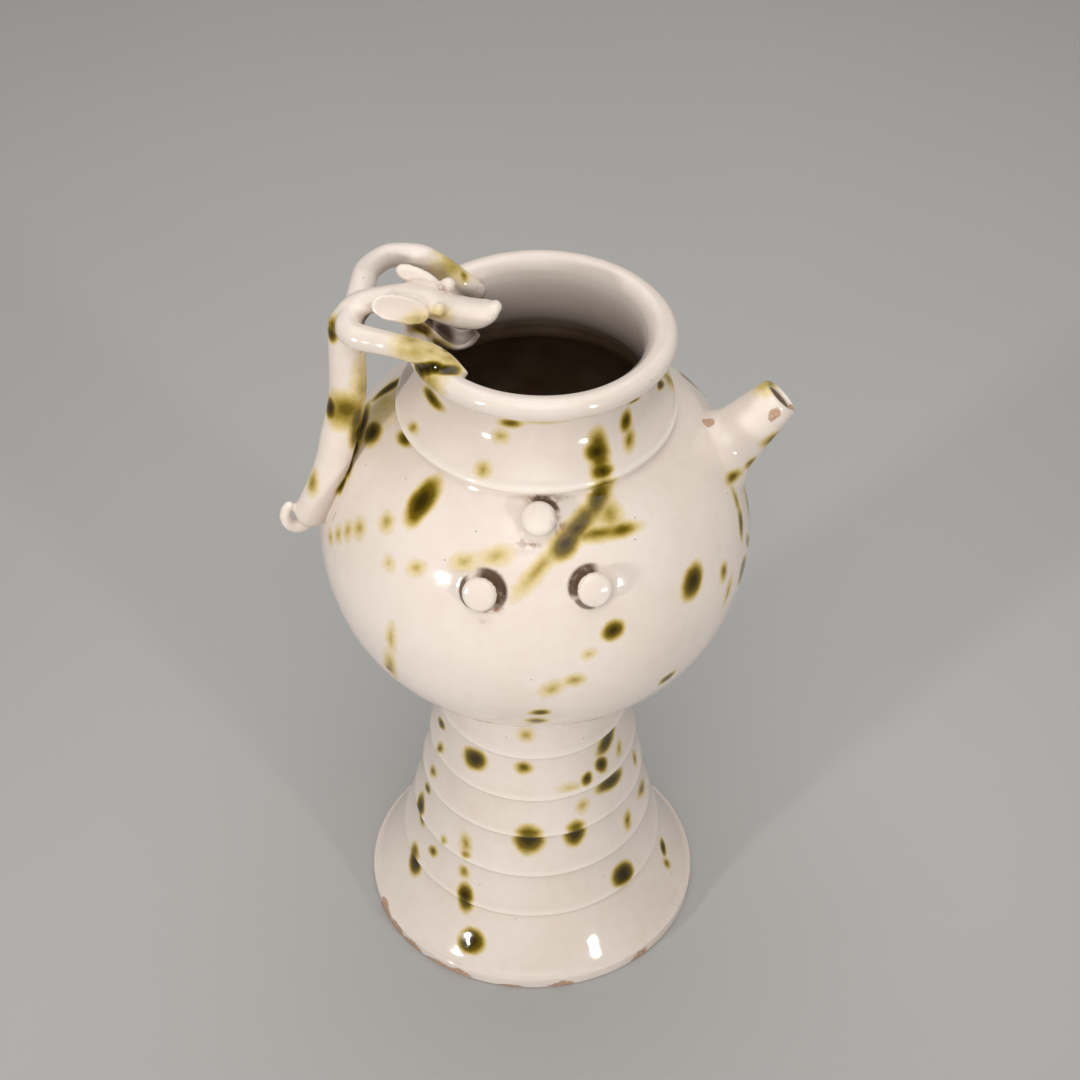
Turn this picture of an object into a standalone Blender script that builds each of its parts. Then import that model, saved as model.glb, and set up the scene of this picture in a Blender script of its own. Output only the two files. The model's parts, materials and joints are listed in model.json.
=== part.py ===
"""Glazed porcelain jar: one fired piece, hollow, on a tall turned foot.

The jar is thrown in two parts, a round body with a collar and rolled lip, and a flared foot with five
ridges. A short spout, three studs and a handle are luted on. The handle is a dragon: its body climbs from
the shoulder, its two forelegs hold the lip and its open mouth reaches over the jar's own.

Metres, +Z up. The foot stands on Z = 0 with its axis on X = Y = 0, the spout points to +X, the handle
is at -X and the studs face -Y.
"""

import math

import bmesh
import bpy
from mathutils import Vector

# Sides of the turned form and of what is luted to it
TURNED_SIDES = 36
COIL_SIDES = 12
LEG_SIDES = 10
SMALL_SIDES = 8
SPOUT_SIDES = 16
STUD_SIDES = 14

# Foot: a ground rim, then tiers that flare down to sharp ridges
FOOT_RIM_RADIUS = 0.0647
FOOT_RIM_HEIGHT = 0.0056
FOOT_RIM_EASE = 0.0010
FOOT_WALL = 0.0050
FOOT_SPREAD = 0.0120
FOOT_SPREAD_HEIGHT = 0.0200
FOOT_TAPER = 0.16
FOOT_BASE_RADIUS = 0.0530
RIDGE_HEIGHTS = (0.0279, 0.0462, 0.0652, 0.0826, 0.1026)
RIDGE_DEPTH = 0.0011
RIDGE_UNDERCUT = 0.0009
TIER_FLARE = 1.8
SKIRT_FLARE = 1.3
WAIST_RADIUS = 0.0346
WAIST_HEIGHT = 0.1240
FOOT_CEILING = 0.1315
RIM_SETTLE_HEIGHT = 0.0260
RIM_SETTLE_SHIFT = (0.0004, -0.0033)
RIM_SETTLE_SQUEEZE = 0.042

# Body: a superellipse of revolution, fuller below its widest line than above
BODY_RADIUS = 0.0767
BODY_EQUATOR = 0.1892
BODY_RISE = 0.0585
BODY_DEPTH = 0.0563
RISE_POWERS = (1.73, 3.68)
DEPTH_POWERS = (1.82, 4.0)
BODY_WALL = 0.0055
CAVITY_RISE = 0.0555
CAVITY_DEPTH = 0.0503
BODY_FOOT_HEIGHT = 0.1380
SHOULDER_HEIGHT = 0.2420
LEDGE_HEIGHT = 0.2400

# Collar: a thin flange over the shoulder, then a concave neck
FLANGE_RADIUS = 0.0482
FLANGE_HEIGHT = 0.2473
FLANGE_UNDERSIDE = 0.2448
FLANGE_ROOT = 0.0469
COLLAR_BASE = 0.2480
COLLAR_TOP = 0.2680
COLLAR_RADIUS = 0.0374
COLLAR_FLARE = 0.0105
COLLAR_POWER = 2.25

# Lip: a rolled ring, and the throat below it
LIP_RADIUS = 0.0416
LIP_HEIGHT = 0.2747
LIP_ROLL = 0.0043
THROAT_RADIUS = 0.0344
THROAT_HEIGHT = 0.2660
THROAT_FOOT_RADIUS = 0.0400
THROAT_FOOT_HEIGHT = 0.2485
LEDGE_RADIUS = 0.0419
MOUTH_TILT = math.radians(2.5)
MOUTH_SHIFT = 0.0011

# Spout: a plain tapered tube, its root spread where it is luted to the shoulder
SPOUT_MOUTH = (0.0845, 0.0083, 0.2418)
SPOUT_AZIMUTH = math.radians(13.5)
SPOUT_ELEVATION = math.radians(45.0)
SPOUT_MOUTH_RADIUS = 0.0076
SPOUT_ROOT_RADIUS = 0.0114
SPOUT_LENGTH = 0.0260
SPOUT_FILLET = 0.0030
SPOUT_BORE_RADIUS = 0.0049
SPOUT_BORE_ROOT_RADIUS = 0.0070
SPOUT_BORE_LENGTH = 0.0400

# Studs: short discs standing out of the shoulder, each an azimuth and a height
STUDS = ((-88.6, 0.2385), (-104.4, 0.2190), (-73.5, 0.2204))
STUD_HEIGHT = 0.0045
STUD_ROOT_RADIUS = 0.0073
STUD_TOP_RADIUS = 0.0062
STUD_SEAT = 0.0030

# Dragon: each path point is X, Y, Z and the clay's half width there
COIL_PATH = (
    (-0.0778, -0.0150, 0.2066, 0.0059),
    (-0.0732, -0.0150, 0.2175, 0.0060),
    (-0.0695, -0.0140, 0.2280, 0.0061),
    (-0.0672, -0.0125, 0.2375, 0.0063),
    (-0.0649, -0.0105, 0.2465, 0.0064),
    (-0.0634, -0.0090, 0.2554, 0.0064),
    (-0.0630, -0.0070, 0.2692, 0.0064),
    (-0.0630, -0.0045, 0.2805, 0.0062),
)
TAIL_PATH = (
    (-0.0760, -0.0150, 0.2035, 0.0032),
    (-0.0788, -0.0150, 0.2012, 0.0024),
    (-0.0828, -0.0150, 0.1990, 0.0023),
    (-0.0859, -0.0150, 0.2004, 0.0023),
    (-0.0871, -0.0150, 0.2035, 0.0021),
    (-0.0865, -0.0150, 0.2073, 0.0018),
    (-0.0853, -0.0150, 0.2094, 0.0014),
)
FRONT_LEG_PATH = (
    (-0.0590, -0.0020, 0.2850, 0.0042),
    (-0.0620, -0.0085, 0.2838, 0.0044),
    (-0.0600, -0.0135, 0.2835, 0.0044),
    (-0.0540, -0.0162, 0.2835, 0.0043),
    (-0.0476, -0.0190, 0.2840, 0.0041),
    (-0.0408, -0.0205, 0.2830, 0.0041),
    (-0.0346, -0.0212, 0.2812, 0.0042),
    (-0.0286, -0.0242, 0.2795, 0.0036),
    (-0.0238, -0.0270, 0.2785, 0.0018),
)
BACK_LEG_PATH = (
    (-0.0600, 0.0000, 0.2830, 0.0045),
    (-0.0584, 0.0110, 0.2850, 0.0045),
    (-0.0577, 0.0180, 0.2850, 0.0044),
    (-0.0548, 0.0235, 0.2850, 0.0043),
    (-0.0503, 0.0270, 0.2855, 0.0042),
    (-0.0444, 0.0270, 0.2860, 0.0041),
    (-0.0386, 0.0270, 0.2850, 0.0041),
    (-0.0322, 0.0265, 0.2810, 0.0040),
    (-0.0260, 0.0260, 0.2760, 0.0038),
    (-0.0210, 0.0265, 0.2715, 0.0034),
)

# Head and jaws: each station is X, Y, Z of its middle, half width and half height
HEAD_STATIONS = (
    (-0.0632, -0.0035, 0.2815, 0.0050, 0.0050),
    (-0.0608, -0.0025, 0.2850, 0.0048, 0.0046),
    (-0.0565, -0.0010, 0.2872, 0.0045, 0.0040),
    (-0.0510, 0.0000, 0.2880, 0.0044, 0.0040),
    (-0.0440, 0.0000, 0.2888, 0.0047, 0.0044),
    (-0.0375, 0.0000, 0.2874, 0.0053, 0.0048),
    (-0.0320, 0.0000, 0.2852, 0.0060, 0.0048),
    (-0.0260, 0.0000, 0.2830, 0.0066, 0.0046),
    (-0.0200, 0.0000, 0.2822, 0.0064, 0.0042),
    (-0.0158, 0.0000, 0.2834, 0.0052, 0.0034),
    (-0.0138, 0.0000, 0.2850, 0.0032, 0.0022),
)
JAW_STATIONS = (
    (-0.0420, 0.0000, 0.2825, 0.0032, 0.0026),
    (-0.0373, 0.0000, 0.2780, 0.0044, 0.0028),
    (-0.0320, 0.0000, 0.2728, 0.0052, 0.0024),
    (-0.0270, 0.0000, 0.2700, 0.0052, 0.0020),
    (-0.0225, 0.0000, 0.2708, 0.0042, 0.0017),
    (-0.0200, 0.0000, 0.2732, 0.0022, 0.0012),
)
JAW_CUP = 0.0018

# Ears and eyes: an ear is a root, a tip, a direction across it, its half width, half thickness and cup
NEAR_EAR = ((-0.0352, -0.0068, 0.2864), (-0.0545, -0.0072, 0.2914), (0.15, 0.62, 0.78), 0.0047, 0.0014, 0.0012)
FAR_EAR = ((-0.0320, 0.0040, 0.2892), (-0.0468, 0.0070, 0.2956), (0.30, 0.30, 0.90), 0.0035, 0.0013, 0.0004)
EAR_STATIONS = 7
EAR_FULLNESS = 2.3
NEAR_EYE = (-0.0322, -0.0050, 0.2876)
NEAR_EYE_RADIUS = 0.0025
FAR_EYE = (-0.0295, 0.0050, 0.2902)
FAR_EYE_RADIUS = 0.0026
EYE_SEGMENTS = 10
EYE_RINGS = 6

GLAZE_COLOUR = (0.78, 0.72, 0.65, 1.0)
GLAZE_ROUGHNESS = 0.12


def clear_scene():
    """Start from an empty scene."""
    for old in list(bpy.data.objects):
        bpy.data.objects.remove(old, do_unlink=True)


def glaze_material():
    """Glossy warm white glaze."""
    material = bpy.data.materials.new("glazed_porcelain")
    material.use_nodes = True
    shader = material.node_tree.nodes["Principled BSDF"]
    shader.inputs["Base Color"].default_value = GLAZE_COLOUR
    shader.inputs["Roughness"].default_value = GLAZE_ROUGHNESS
    shader.inputs["Metallic"].default_value = 0.0
    return material


def mesh_object(name, mesh_data):
    """Link a bmesh as an object with its faces pointing out."""
    bmesh.ops.recalc_face_normals(mesh_data, faces=mesh_data.faces)
    mesh = bpy.data.meshes.new(name)
    mesh_data.to_mesh(mesh)
    mesh_data.free()
    mesh.shade_smooth()
    mesh.set_sharp_from_angle(angle=math.radians(40.0))
    item = bpy.data.objects.new(name, mesh)
    bpy.context.scene.collection.objects.link(item)
    return item


def bridge(mesh_data, lower, upper):
    """Join two rings of the same number of vertices, or a ring and a single pole."""
    count = max(len(lower), len(upper))
    for i in range(count):
        j = (i + 1) % count
        corners = []
        for ring, k in ((lower, i), (lower, j), (upper, j), (upper, i)):
            vertex = ring[k % len(ring)]
            if vertex not in corners:
                corners.append(vertex)
        mesh_data.faces.new(corners)


def skin(name, rings):
    """Closed body through rings of points. A ring of one point is a pole; open ends are capped flat."""
    mesh_data = bmesh.new()
    loops = [[mesh_data.verts.new(point) for point in ring] for ring in rings]
    for lower, upper in zip(loops, loops[1:]):
        bridge(mesh_data, lower, upper)
    for end in (loops[0], loops[-1]):
        if len(end) > 1:
            mesh_data.faces.new(end)
    return mesh_object(name, mesh_data)


def smooth_step(share):
    """Ease from 0 to 1 with a level start and end."""
    share = min(max(share, 0.0), 1.0)
    return share * share * (3.0 - 2.0 * share)


def catmull_rom(points, steps):
    """Points of any size on a smooth curve through the given ones."""
    rows = [Vector(point) for point in points]
    rows = [2.0 * rows[0] - rows[1]] + rows + [2.0 * rows[-1] - rows[-2]]
    curve = []
    for a, b, c, d in zip(rows, rows[1:], rows[2:], rows[3:]):
        for step in range(steps):
            t = step / steps
            curve.append(0.5 * (2.0 * b + (c - a) * t + (2.0 * a - 5.0 * b + 4.0 * c - d) * t * t
                                + (3.0 * b - a - 3.0 * c + d) * t ** 3))
    curve.append(rows[-2].copy())
    return curve


# The turned form

def body_radius(height, radius, rise, depth):
    """Half width of the round body, or of its cavity, at a height."""
    above = height > BODY_EQUATOR
    reach = rise if above else depth
    inner_power, outer_power = RISE_POWERS if above else DEPTH_POWERS
    share = min(abs(height - BODY_EQUATOR) / reach, 1.0)
    return radius * (1.0 - share ** inner_power) ** (1.0 / outer_power)


def outer_body_radius(height):
    """Half width of the body's outside."""
    return body_radius(height, BODY_RADIUS, BODY_RISE, BODY_DEPTH)


def cavity_radius(height):
    """Half width of the body's inside."""
    return body_radius(height, BODY_RADIUS - BODY_WALL, CAVITY_RISE, CAVITY_DEPTH)


def heights_towards(start, end, count, closer_at_end):
    """Heights from start to end, gathered where the wall turns in."""
    shares = [i / count for i in range(count + 1)]
    if closer_at_end:
        return [start + (end - start) * math.sin(share * math.pi / 2.0) for share in shares]
    return [end + (start - end) * math.sin((1.0 - share) * math.pi / 2.0) for share in shares]


def foot_ridge_radius(height):
    """Half width of the foot's envelope, through the edges of its ridges."""
    return FOOT_BASE_RADIUS - FOOT_TAPER * height + FOOT_SPREAD * math.exp(-height / FOOT_SPREAD_HEIGHT)


def foot_hollow_outline():
    """Underside of the foot, from the middle of its ceiling down to the standing ring."""
    outline = [(0.0, FOOT_CEILING), (0.022, FOOT_CEILING - 0.0012),
               (WAIST_RADIUS - 0.0040, WAIST_HEIGHT - 0.0005)]
    for height in (0.085, 0.050, 0.028, 0.012, 0.0):
        outline.append((foot_ridge_radius(height) - FOOT_WALL, height))
    return outline


def foot_outside_outline():
    """Outside of the foot from its ground rim up to the waist under the body."""
    rim, ease = FOOT_RIM_RADIUS, FOOT_RIM_EASE
    outline = [(rim - ease, 0.0), (rim, ease), (rim, FOOT_RIM_HEIGHT - ease),
               (rim - 1.4 * ease, FOOT_RIM_HEIGHT)]
    low_radius, low_height, flare, steps = rim - 1.4 * ease, FOOT_RIM_HEIGHT, SKIRT_FLARE, 5
    for ridge_height in RIDGE_HEIGHTS:
        ridge_radius = foot_ridge_radius(ridge_height)
        high_radius = ridge_radius - RIDGE_DEPTH
        high_height = ridge_height - RIDGE_UNDERCUT
        for step in range(1, steps + 1):
            share = 1.0 - step / steps
            height = high_height + (low_height - high_height) * share
            outline.append((high_radius + (low_radius - high_radius) * share ** flare, height))
        outline.append((ridge_radius, ridge_height))
        low_radius, low_height, flare, steps = ridge_radius, ridge_height, TIER_FLARE, 3
    for step in range(1, 4):
        share = 1.0 - step / 3.0
        outline.append((WAIST_RADIUS + (low_radius - WAIST_RADIUS) * share ** flare,
                        WAIST_HEIGHT + (low_height - WAIST_HEIGHT) * share))
    cove = outer_body_radius(BODY_FOOT_HEIGHT) - WAIST_RADIUS
    for share_out, share_up in ((0.07, 0.38), (0.26, 0.64), (0.60, 0.82)):
        outline.append((WAIST_RADIUS + cove * share_out,
                        WAIST_HEIGHT + (BODY_FOOT_HEIGHT - WAIST_HEIGHT) * share_up))
    return outline


def body_outline():
    """Outside of the body from the foot to the shoulder."""
    below = heights_towards(BODY_FOOT_HEIGHT, BODY_EQUATOR, 7, False)
    above = heights_towards(BODY_EQUATOR, SHOULDER_HEIGHT - 0.001, 7, True)
    return [(outer_body_radius(height), height) for height in below + above[1:]]


def collar_outline():
    """Shoulder line, flange and concave neck up to the lip's underside."""
    outline = [(FLANGE_ROOT, SHOULDER_HEIGHT), (FLANGE_ROOT, FLANGE_UNDERSIDE),
               (FLANGE_RADIUS, FLANGE_HEIGHT - 0.0006), (FLANGE_RADIUS, FLANGE_HEIGHT)]
    for step in range(6):
        share = step / 5.0
        height = COLLAR_BASE + (COLLAR_TOP - COLLAR_BASE) * share
        outline.append((COLLAR_RADIUS + COLLAR_FLARE * (1.0 - share) ** COLLAR_POWER, height))
    return outline


def lip_outline():
    """Rolled lip from its underside over the crest to the inside."""
    outline = []
    for angle in range(-115, 146, 32):
        turn = math.radians(angle)
        outline.append((LIP_RADIUS + LIP_ROLL * math.cos(turn), LIP_HEIGHT + LIP_ROLL * math.sin(turn)))
    return outline


def throat_outline():
    """Inside of the neck: narrowest at the throat, wider down to the ledge in the shoulder."""
    outline = [(THROAT_RADIUS + 0.0020, LIP_HEIGHT + 0.0006), (THROAT_RADIUS + 0.0005, THROAT_HEIGHT + 0.0055),
               (THROAT_RADIUS, THROAT_HEIGHT)]
    for share in (0.4, 0.75, 1.0):
        outline.append((THROAT_RADIUS + (THROAT_FOOT_RADIUS - THROAT_RADIUS) * share ** 2,
                        THROAT_HEIGHT + (THROAT_FOOT_HEIGHT - THROAT_HEIGHT) * share))
    outline.append((LEDGE_RADIUS, LEDGE_HEIGHT + 0.0035))
    return outline


def cavity_outline():
    """Inside of the body from the ledge down to the middle of its floor."""
    above = heights_towards(LEDGE_HEIGHT, BODY_EQUATOR, 5, False)
    below = heights_towards(BODY_EQUATOR, BODY_EQUATOR - CAVITY_DEPTH * 0.996, 5, True)
    outline = [(cavity_radius(height), height) for height in above + below[1:]]
    return outline + [(0.0, BODY_EQUATOR - CAVITY_DEPTH)]


def settle(x, y, z):
    """The clay's small warps: the neck leans, its front higher, and the foot's rim is a little oval."""
    lean = smooth_step((z - LEDGE_HEIGHT) / (LIP_HEIGHT - LEDGE_HEIGHT))
    warp = 1.0 - smooth_step(z / RIM_SETTLE_HEIGHT)
    return (x + MOUTH_SHIFT * lean + RIM_SETTLE_SHIFT[0] * warp,
            y * (1.0 - RIM_SETTLE_SQUEEZE * warp) + RIM_SETTLE_SHIFT[1] * warp,
            z - y * math.tan(MOUTH_TILT) * lean)


def turned_jar():
    """Revolve the jar's whole section, outside and inside in one line that starts and ends on the axis."""
    outline = (foot_hollow_outline() + foot_outside_outline() + body_outline() + collar_outline()
               + lip_outline() + throat_outline() + cavity_outline())
    rings = []
    for radius, height in outline:
        if radius == 0.0:
            rings.append([(0.0, 0.0, height)])
            continue
        turns = [2.0 * math.pi * i / TURNED_SIDES for i in range(TURNED_SIDES)]
        rings.append([settle(radius * math.cos(turn), radius * math.sin(turn), height) for turn in turns])
    return skin("jar", rings)


# What is luted on

def direction(azimuth, elevation):
    """Unit vector at an azimuth from +X and an elevation."""
    return Vector((math.cos(elevation) * math.cos(azimuth), math.cos(elevation) * math.sin(azimuth),
                   math.sin(elevation)))


def ring_around(middle, side, up, half_width, half_height, sides, cup=0.0):
    """Ellipse of points around a middle; cup bends its edges up."""
    points = []
    for i in range(sides):
        turn = 2.0 * math.pi * i / sides
        across, rise = math.cos(turn), math.sin(turn)
        points.append(middle + side * half_width * across + up * (half_height * rise + cup * across * across))
    return points


def body_gap(point):
    """How far a point stands outside the middle of the body's wall."""
    return math.hypot(point.x, point.y) - (outer_body_radius(point.z) - 0.5 * BODY_WALL)


def spout_root(start, along):
    """Distance down a line from the spout's mouth at which it is in the middle of the body's wall."""
    near, far = 0.0, 2.0 * SPOUT_LENGTH
    for _ in range(40):
        middle = 0.5 * (near + far)
        if body_gap(start - along * middle) > 0.0:
            near = middle
        else:
            far = middle
    return near


def spout_frame():
    """The spout's mouth, its axis and two directions across it."""
    along = direction(SPOUT_AZIMUTH, SPOUT_ELEVATION)
    side = Vector((0.0, 0.0, 1.0)).cross(along).normalized()
    return Vector(SPOUT_MOUTH), along, side, along.cross(side)


def spout_tube():
    """Tapered tube whose root follows the round of the body and spreads in a fillet."""
    mouth, along, side, up = spout_frame()
    columns = []
    for i in range(SPOUT_SIDES):
        turn = 2.0 * math.pi * i / SPOUT_SIDES
        out = side * math.cos(turn) + up * math.sin(turn)
        reach = spout_root(mouth + out * SPOUT_ROOT_RADIUS, along)
        column = [mouth + out * (SPOUT_MOUTH_RADIUS - 0.0010),
                  mouth + out * SPOUT_MOUTH_RADIUS - along * 0.0010]
        for share in (0.45, 0.72, 0.88, 1.0):
            down = reach * share
            radius = SPOUT_MOUTH_RADIUS + (SPOUT_ROOT_RADIUS - SPOUT_MOUTH_RADIUS) * down / SPOUT_LENGTH
            spread = SPOUT_FILLET * smooth_step((share - 0.6) / 0.4) ** 2
            column.append(mouth + out * (radius + spread) - along * down)
        columns.append(column)
    rings = [[column[level] for column in columns] for level in range(len(columns[0]))]
    return skin("spout_tube", rings)


def spout_bore():
    """Tapered hole from beyond the spout's mouth to inside the body."""
    mouth, along, side, up = spout_frame()
    outside = ring_around(mouth + along * 0.004, side, up, SPOUT_BORE_RADIUS, SPOUT_BORE_RADIUS, SPOUT_SIDES)
    inside = ring_around(mouth - along * SPOUT_BORE_LENGTH, side, up, SPOUT_BORE_ROOT_RADIUS,
                         SPOUT_BORE_ROOT_RADIUS, SPOUT_SIDES)
    return skin("spout_bore", [outside, inside])


def stud(number, azimuth_degrees, height):
    """Disc with an eased edge, standing square to the body's surface."""
    azimuth = math.radians(azimuth_degrees)
    radius = outer_body_radius(height)
    step = 0.0005
    slope = (outer_body_radius(height + step) - outer_body_radius(height - step)) / (2.0 * step)
    out = direction(azimuth, math.atan(-slope))
    side = Vector((0.0, 0.0, 1.0)).cross(out).normalized()
    up = out.cross(side)
    seat = Vector((radius * math.cos(azimuth), radius * math.sin(azimuth), height))
    levels = ((-STUD_SEAT, STUD_ROOT_RADIUS + 0.0004), (0.0004, STUD_ROOT_RADIUS),
              (0.0016, STUD_TOP_RADIUS + 0.0004), (STUD_HEIGHT - 0.0009, STUD_TOP_RADIUS),
              (STUD_HEIGHT, STUD_TOP_RADIUS - 0.0012))
    rings = [ring_around(seat + out * rise, side, up, half, half, STUD_SIDES) for rise, half in levels]
    return skin(f"stud_{number}", rings)


def clay_coil(name, path, steps, sides):
    """Round clay coil along a smooth path, its ends rounded."""
    rows = catmull_rom(path, steps)
    middles = [Vector(row[:3]) for row in rows]
    widths = [row[3] for row in rows]
    tangents = [(middles[min(i + 1, len(middles) - 1)] - middles[max(i - 1, 0)]).normalized()
                for i in range(len(middles))]
    side = tangents[0].orthogonal().normalized()
    rings = []
    for i, (middle, along, width) in enumerate(zip(middles, tangents, widths)):
        side = (side - along * side.dot(along)).normalized()
        up = along.cross(side)
        if i == 0:
            rings.append([middle - along * width])
            rings.append(ring_around(middle - along * width * 0.7, side, up, width * 0.7, width * 0.7, sides))
        rings.append(ring_around(middle, side, up, width, width, sides))
    rings.append(ring_around(middles[-1] + along * width * 0.7, side, up, width * 0.7, width * 0.7, sides))
    rings.append([middles[-1] + along * width])
    return skin(name, rings)


def modelled_form(name, stations, steps, sides, cup=0.0):
    """Form with oval sections that stay upright, such as the head and the lower jaw."""
    rows = catmull_rom(stations, steps)
    middles = [Vector(row[:3]) for row in rows]
    rings = []
    for i, row in enumerate(rows):
        along = (middles[min(i + 1, len(rows) - 1)] - middles[max(i - 1, 0)]).normalized()
        side = Vector((0.0, 0.0, 1.0)).cross(along).normalized()
        up = along.cross(side)
        rings.append(ring_around(middles[i], side, up, row[3], row[4], sides, cup))
    return skin(name, rings)


def ear(name, root, tip, across, half_width, half_thickness, cup):
    """Leaf-shaped ear, hollowed on the side that faces away from the head."""
    root, tip = Vector(root), Vector(tip)
    along = (tip - root).normalized()
    side = Vector(across)
    side = (side - along * side.dot(along)).normalized()
    up = along.cross(side)
    rings = [[root]]
    for i in range(1, EAR_STATIONS):
        share = 0.5 - 0.5 * math.cos(math.pi * i / EAR_STATIONS)
        swell = math.sqrt(1.0 - abs(2.0 * share - 1.0) ** EAR_FULLNESS)
        rings.append(ring_around(root + (tip - root) * share, side, up, half_width * swell,
                                 half_thickness * min(1.0, 2.0 * swell), SMALL_SIDES, cup * swell))
    rings.append([tip])
    return skin(name, rings)


def eye(name, middle, radius):
    """Round pellet of clay."""
    mesh_data = bmesh.new()
    bmesh.ops.create_uvsphere(mesh_data, u_segments=EYE_SEGMENTS, v_segments=EYE_RINGS, radius=radius)
    bmesh.ops.translate(mesh_data, vec=middle, verts=mesh_data.verts)
    return mesh_object(name, mesh_data)


def dragon():
    """Every piece of clay that the handle is modelled from."""
    return [
        clay_coil("dragon_coil", COIL_PATH, 2, COIL_SIDES),
        clay_coil("dragon_tail", TAIL_PATH, 2, SMALL_SIDES),
        modelled_form("dragon_head", HEAD_STATIONS, 1, COIL_SIDES),
        modelled_form("dragon_jaw", JAW_STATIONS, 2, LEG_SIDES, JAW_CUP),
        clay_coil("dragon_front_leg", FRONT_LEG_PATH, 2, LEG_SIDES),
        clay_coil("dragon_back_leg", BACK_LEG_PATH, 2, LEG_SIDES),
        ear("dragon_near_ear", *NEAR_EAR),
        ear("dragon_far_ear", *FAR_EAR),
        eye("dragon_near_eye", NEAR_EYE, NEAR_EYE_RADIUS),
        eye("dragon_far_eye", FAR_EYE, FAR_EYE_RADIUS),
    ]


def combine(target, operand, operation):
    """Join or cut with a hidden operand."""
    operand.hide_render = True
    operand.display_type = "WIRE"
    modifier = target.modifiers.new(f"{operation.lower()}_{operand.name}", "BOOLEAN")
    modifier.operation = operation
    modifier.solver = "EXACT"
    modifier.object = operand


def build():
    """Make the one fired piece."""
    clear_scene()
    jar = turned_jar()
    jar.data.materials.append(glaze_material())
    combine(jar, spout_tube(), "UNION")
    combine(jar, spout_bore(), "DIFFERENCE")
    for number, (azimuth, height) in enumerate(STUDS, start=1):
        combine(jar, stud(number, azimuth, height), "UNION")
    for clay in dragon():
        combine(jar, clay, "UNION")


build()
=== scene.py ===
"""Glazed porcelain jar with a dragon handle: the finish of the fired piece, and a plain studio around it.

Metres, +Z up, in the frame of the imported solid. The foot stands on Z = 0 with its axis on X = Y = 0, the
spout points to +X, the handle is at -X and the studs face -Y.

The jar is made again from the solid's own sizes, with a finer surface: thrown, luted, joined with softened
seams, and glazed with splashes that are laid out one by one.
"""

import json
import math

import bmesh
import bpy
import numpy as np
from mathutils import Euler, Matrix, Vector
from mathutils.kdtree import KDTree

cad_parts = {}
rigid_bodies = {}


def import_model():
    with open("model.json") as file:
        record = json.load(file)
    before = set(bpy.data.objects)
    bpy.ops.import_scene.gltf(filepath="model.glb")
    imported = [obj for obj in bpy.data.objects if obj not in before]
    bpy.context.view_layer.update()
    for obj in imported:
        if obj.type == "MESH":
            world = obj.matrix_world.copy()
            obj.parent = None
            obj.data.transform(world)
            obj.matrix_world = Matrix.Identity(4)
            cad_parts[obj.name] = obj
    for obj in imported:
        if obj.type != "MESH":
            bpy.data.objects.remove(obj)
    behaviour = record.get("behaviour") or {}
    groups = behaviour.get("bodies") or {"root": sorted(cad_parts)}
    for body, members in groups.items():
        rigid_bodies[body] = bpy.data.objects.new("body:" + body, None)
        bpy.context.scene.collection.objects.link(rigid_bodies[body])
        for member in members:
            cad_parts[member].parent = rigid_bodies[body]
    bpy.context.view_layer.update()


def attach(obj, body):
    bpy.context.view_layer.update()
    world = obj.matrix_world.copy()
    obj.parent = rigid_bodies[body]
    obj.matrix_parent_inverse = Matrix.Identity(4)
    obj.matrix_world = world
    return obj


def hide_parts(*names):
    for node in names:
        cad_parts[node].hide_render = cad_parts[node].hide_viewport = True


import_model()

bl_info = {
    "name": "Glazed Porcelain Jar",
    "version": (1, 0, 0),
    "blender": (4, 5, 0),
    "location": "View3D > Sidebar > Jar",
    "description": "Makes a glazed porcelain jar with a ridged foot, a spout, studs and a dragon handle",
    "category": "Add Mesh",
}

JAR_NODE = "jar"
JAR_NAME = "glazed_jar"
TURNED_NAME = "turned_form"
BORE_NAME = "spout_bore"
LUTED_NAMES = ("luted_spout", "luted_studs", "luted_dragon")

MM = 0.001

# Foot: a ground rim, then tiers that flare down to sharp ridges
FOOT_RIM_RADIUS = 0.0647
FOOT_RIM_HEIGHT = 0.0056
FOOT_RIM_EASE = 0.0010
FOOT_WALL = 0.0050
FOOT_SPREAD = 0.0120
FOOT_SPREAD_HEIGHT = 0.0200
FOOT_TAPER = 0.16
FOOT_BASE_RADIUS = 0.0530
RIDGE_HEIGHTS = (0.0279, 0.0462, 0.0652, 0.0826, 0.1026)
RIDGE_DEPTH = 0.0011
RIDGE_UNDERCUT = 0.0009
RIDGE_EDGE = 0.0003
TIER_FLARE = 1.8
SKIRT_FLARE = 1.3
WAIST_RADIUS = 0.0346
WAIST_HEIGHT = 0.1240
FOOT_CEILING = 0.1315
RIM_SETTLE_HEIGHT = 0.0260
RIM_SETTLE_SHIFT = (0.0004, -0.0033)
RIM_SETTLE_SQUEEZE = 0.042
GROUND_WIDTH = 0.0010
# The hollow: how far its ceiling falls at two radii, the wall at the waist, and heights it is drawn through
CEILING_FALL = ((0.011, 0.0004), (0.022, 0.0012))
WAIST_WALL = 0.0040
WAIST_WALL_DROP = 0.0005
HOLLOW_HEIGHTS = (0.085, 0.050, 0.028, 0.012, 0.0)
# Corners of a ridge's edge, in its own size: inwards and up
RIDGE_CORNERS = ((1.0, -0.9), (0.2, -0.3), (0.1, 0.5))
# How far a tier's middle lies behind the ridges, for laying splashes
TIER_SETBACK = 0.0008
SKIRT_STEPS = 16
TIER_STEPS = 10
WAIST_STEPS = 8
# Cove from the waist to the body: shares of the way out and up
COVE = ((0.0, 0.0), (0.07, 0.38), (0.26, 0.64), (0.60, 0.82), (1.0, 1.0))
# Unevenness of the thrown wall: share, waves round it, turn per metre of height, start
WALL_WAVES = ((0.5, 2.0, 31.0, 0.7), (0.3, 5.0, -64.0, 0.0), (0.2, 9.0, 150.0, 2.1))
WALL_WAVE_START = 0.02

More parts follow.
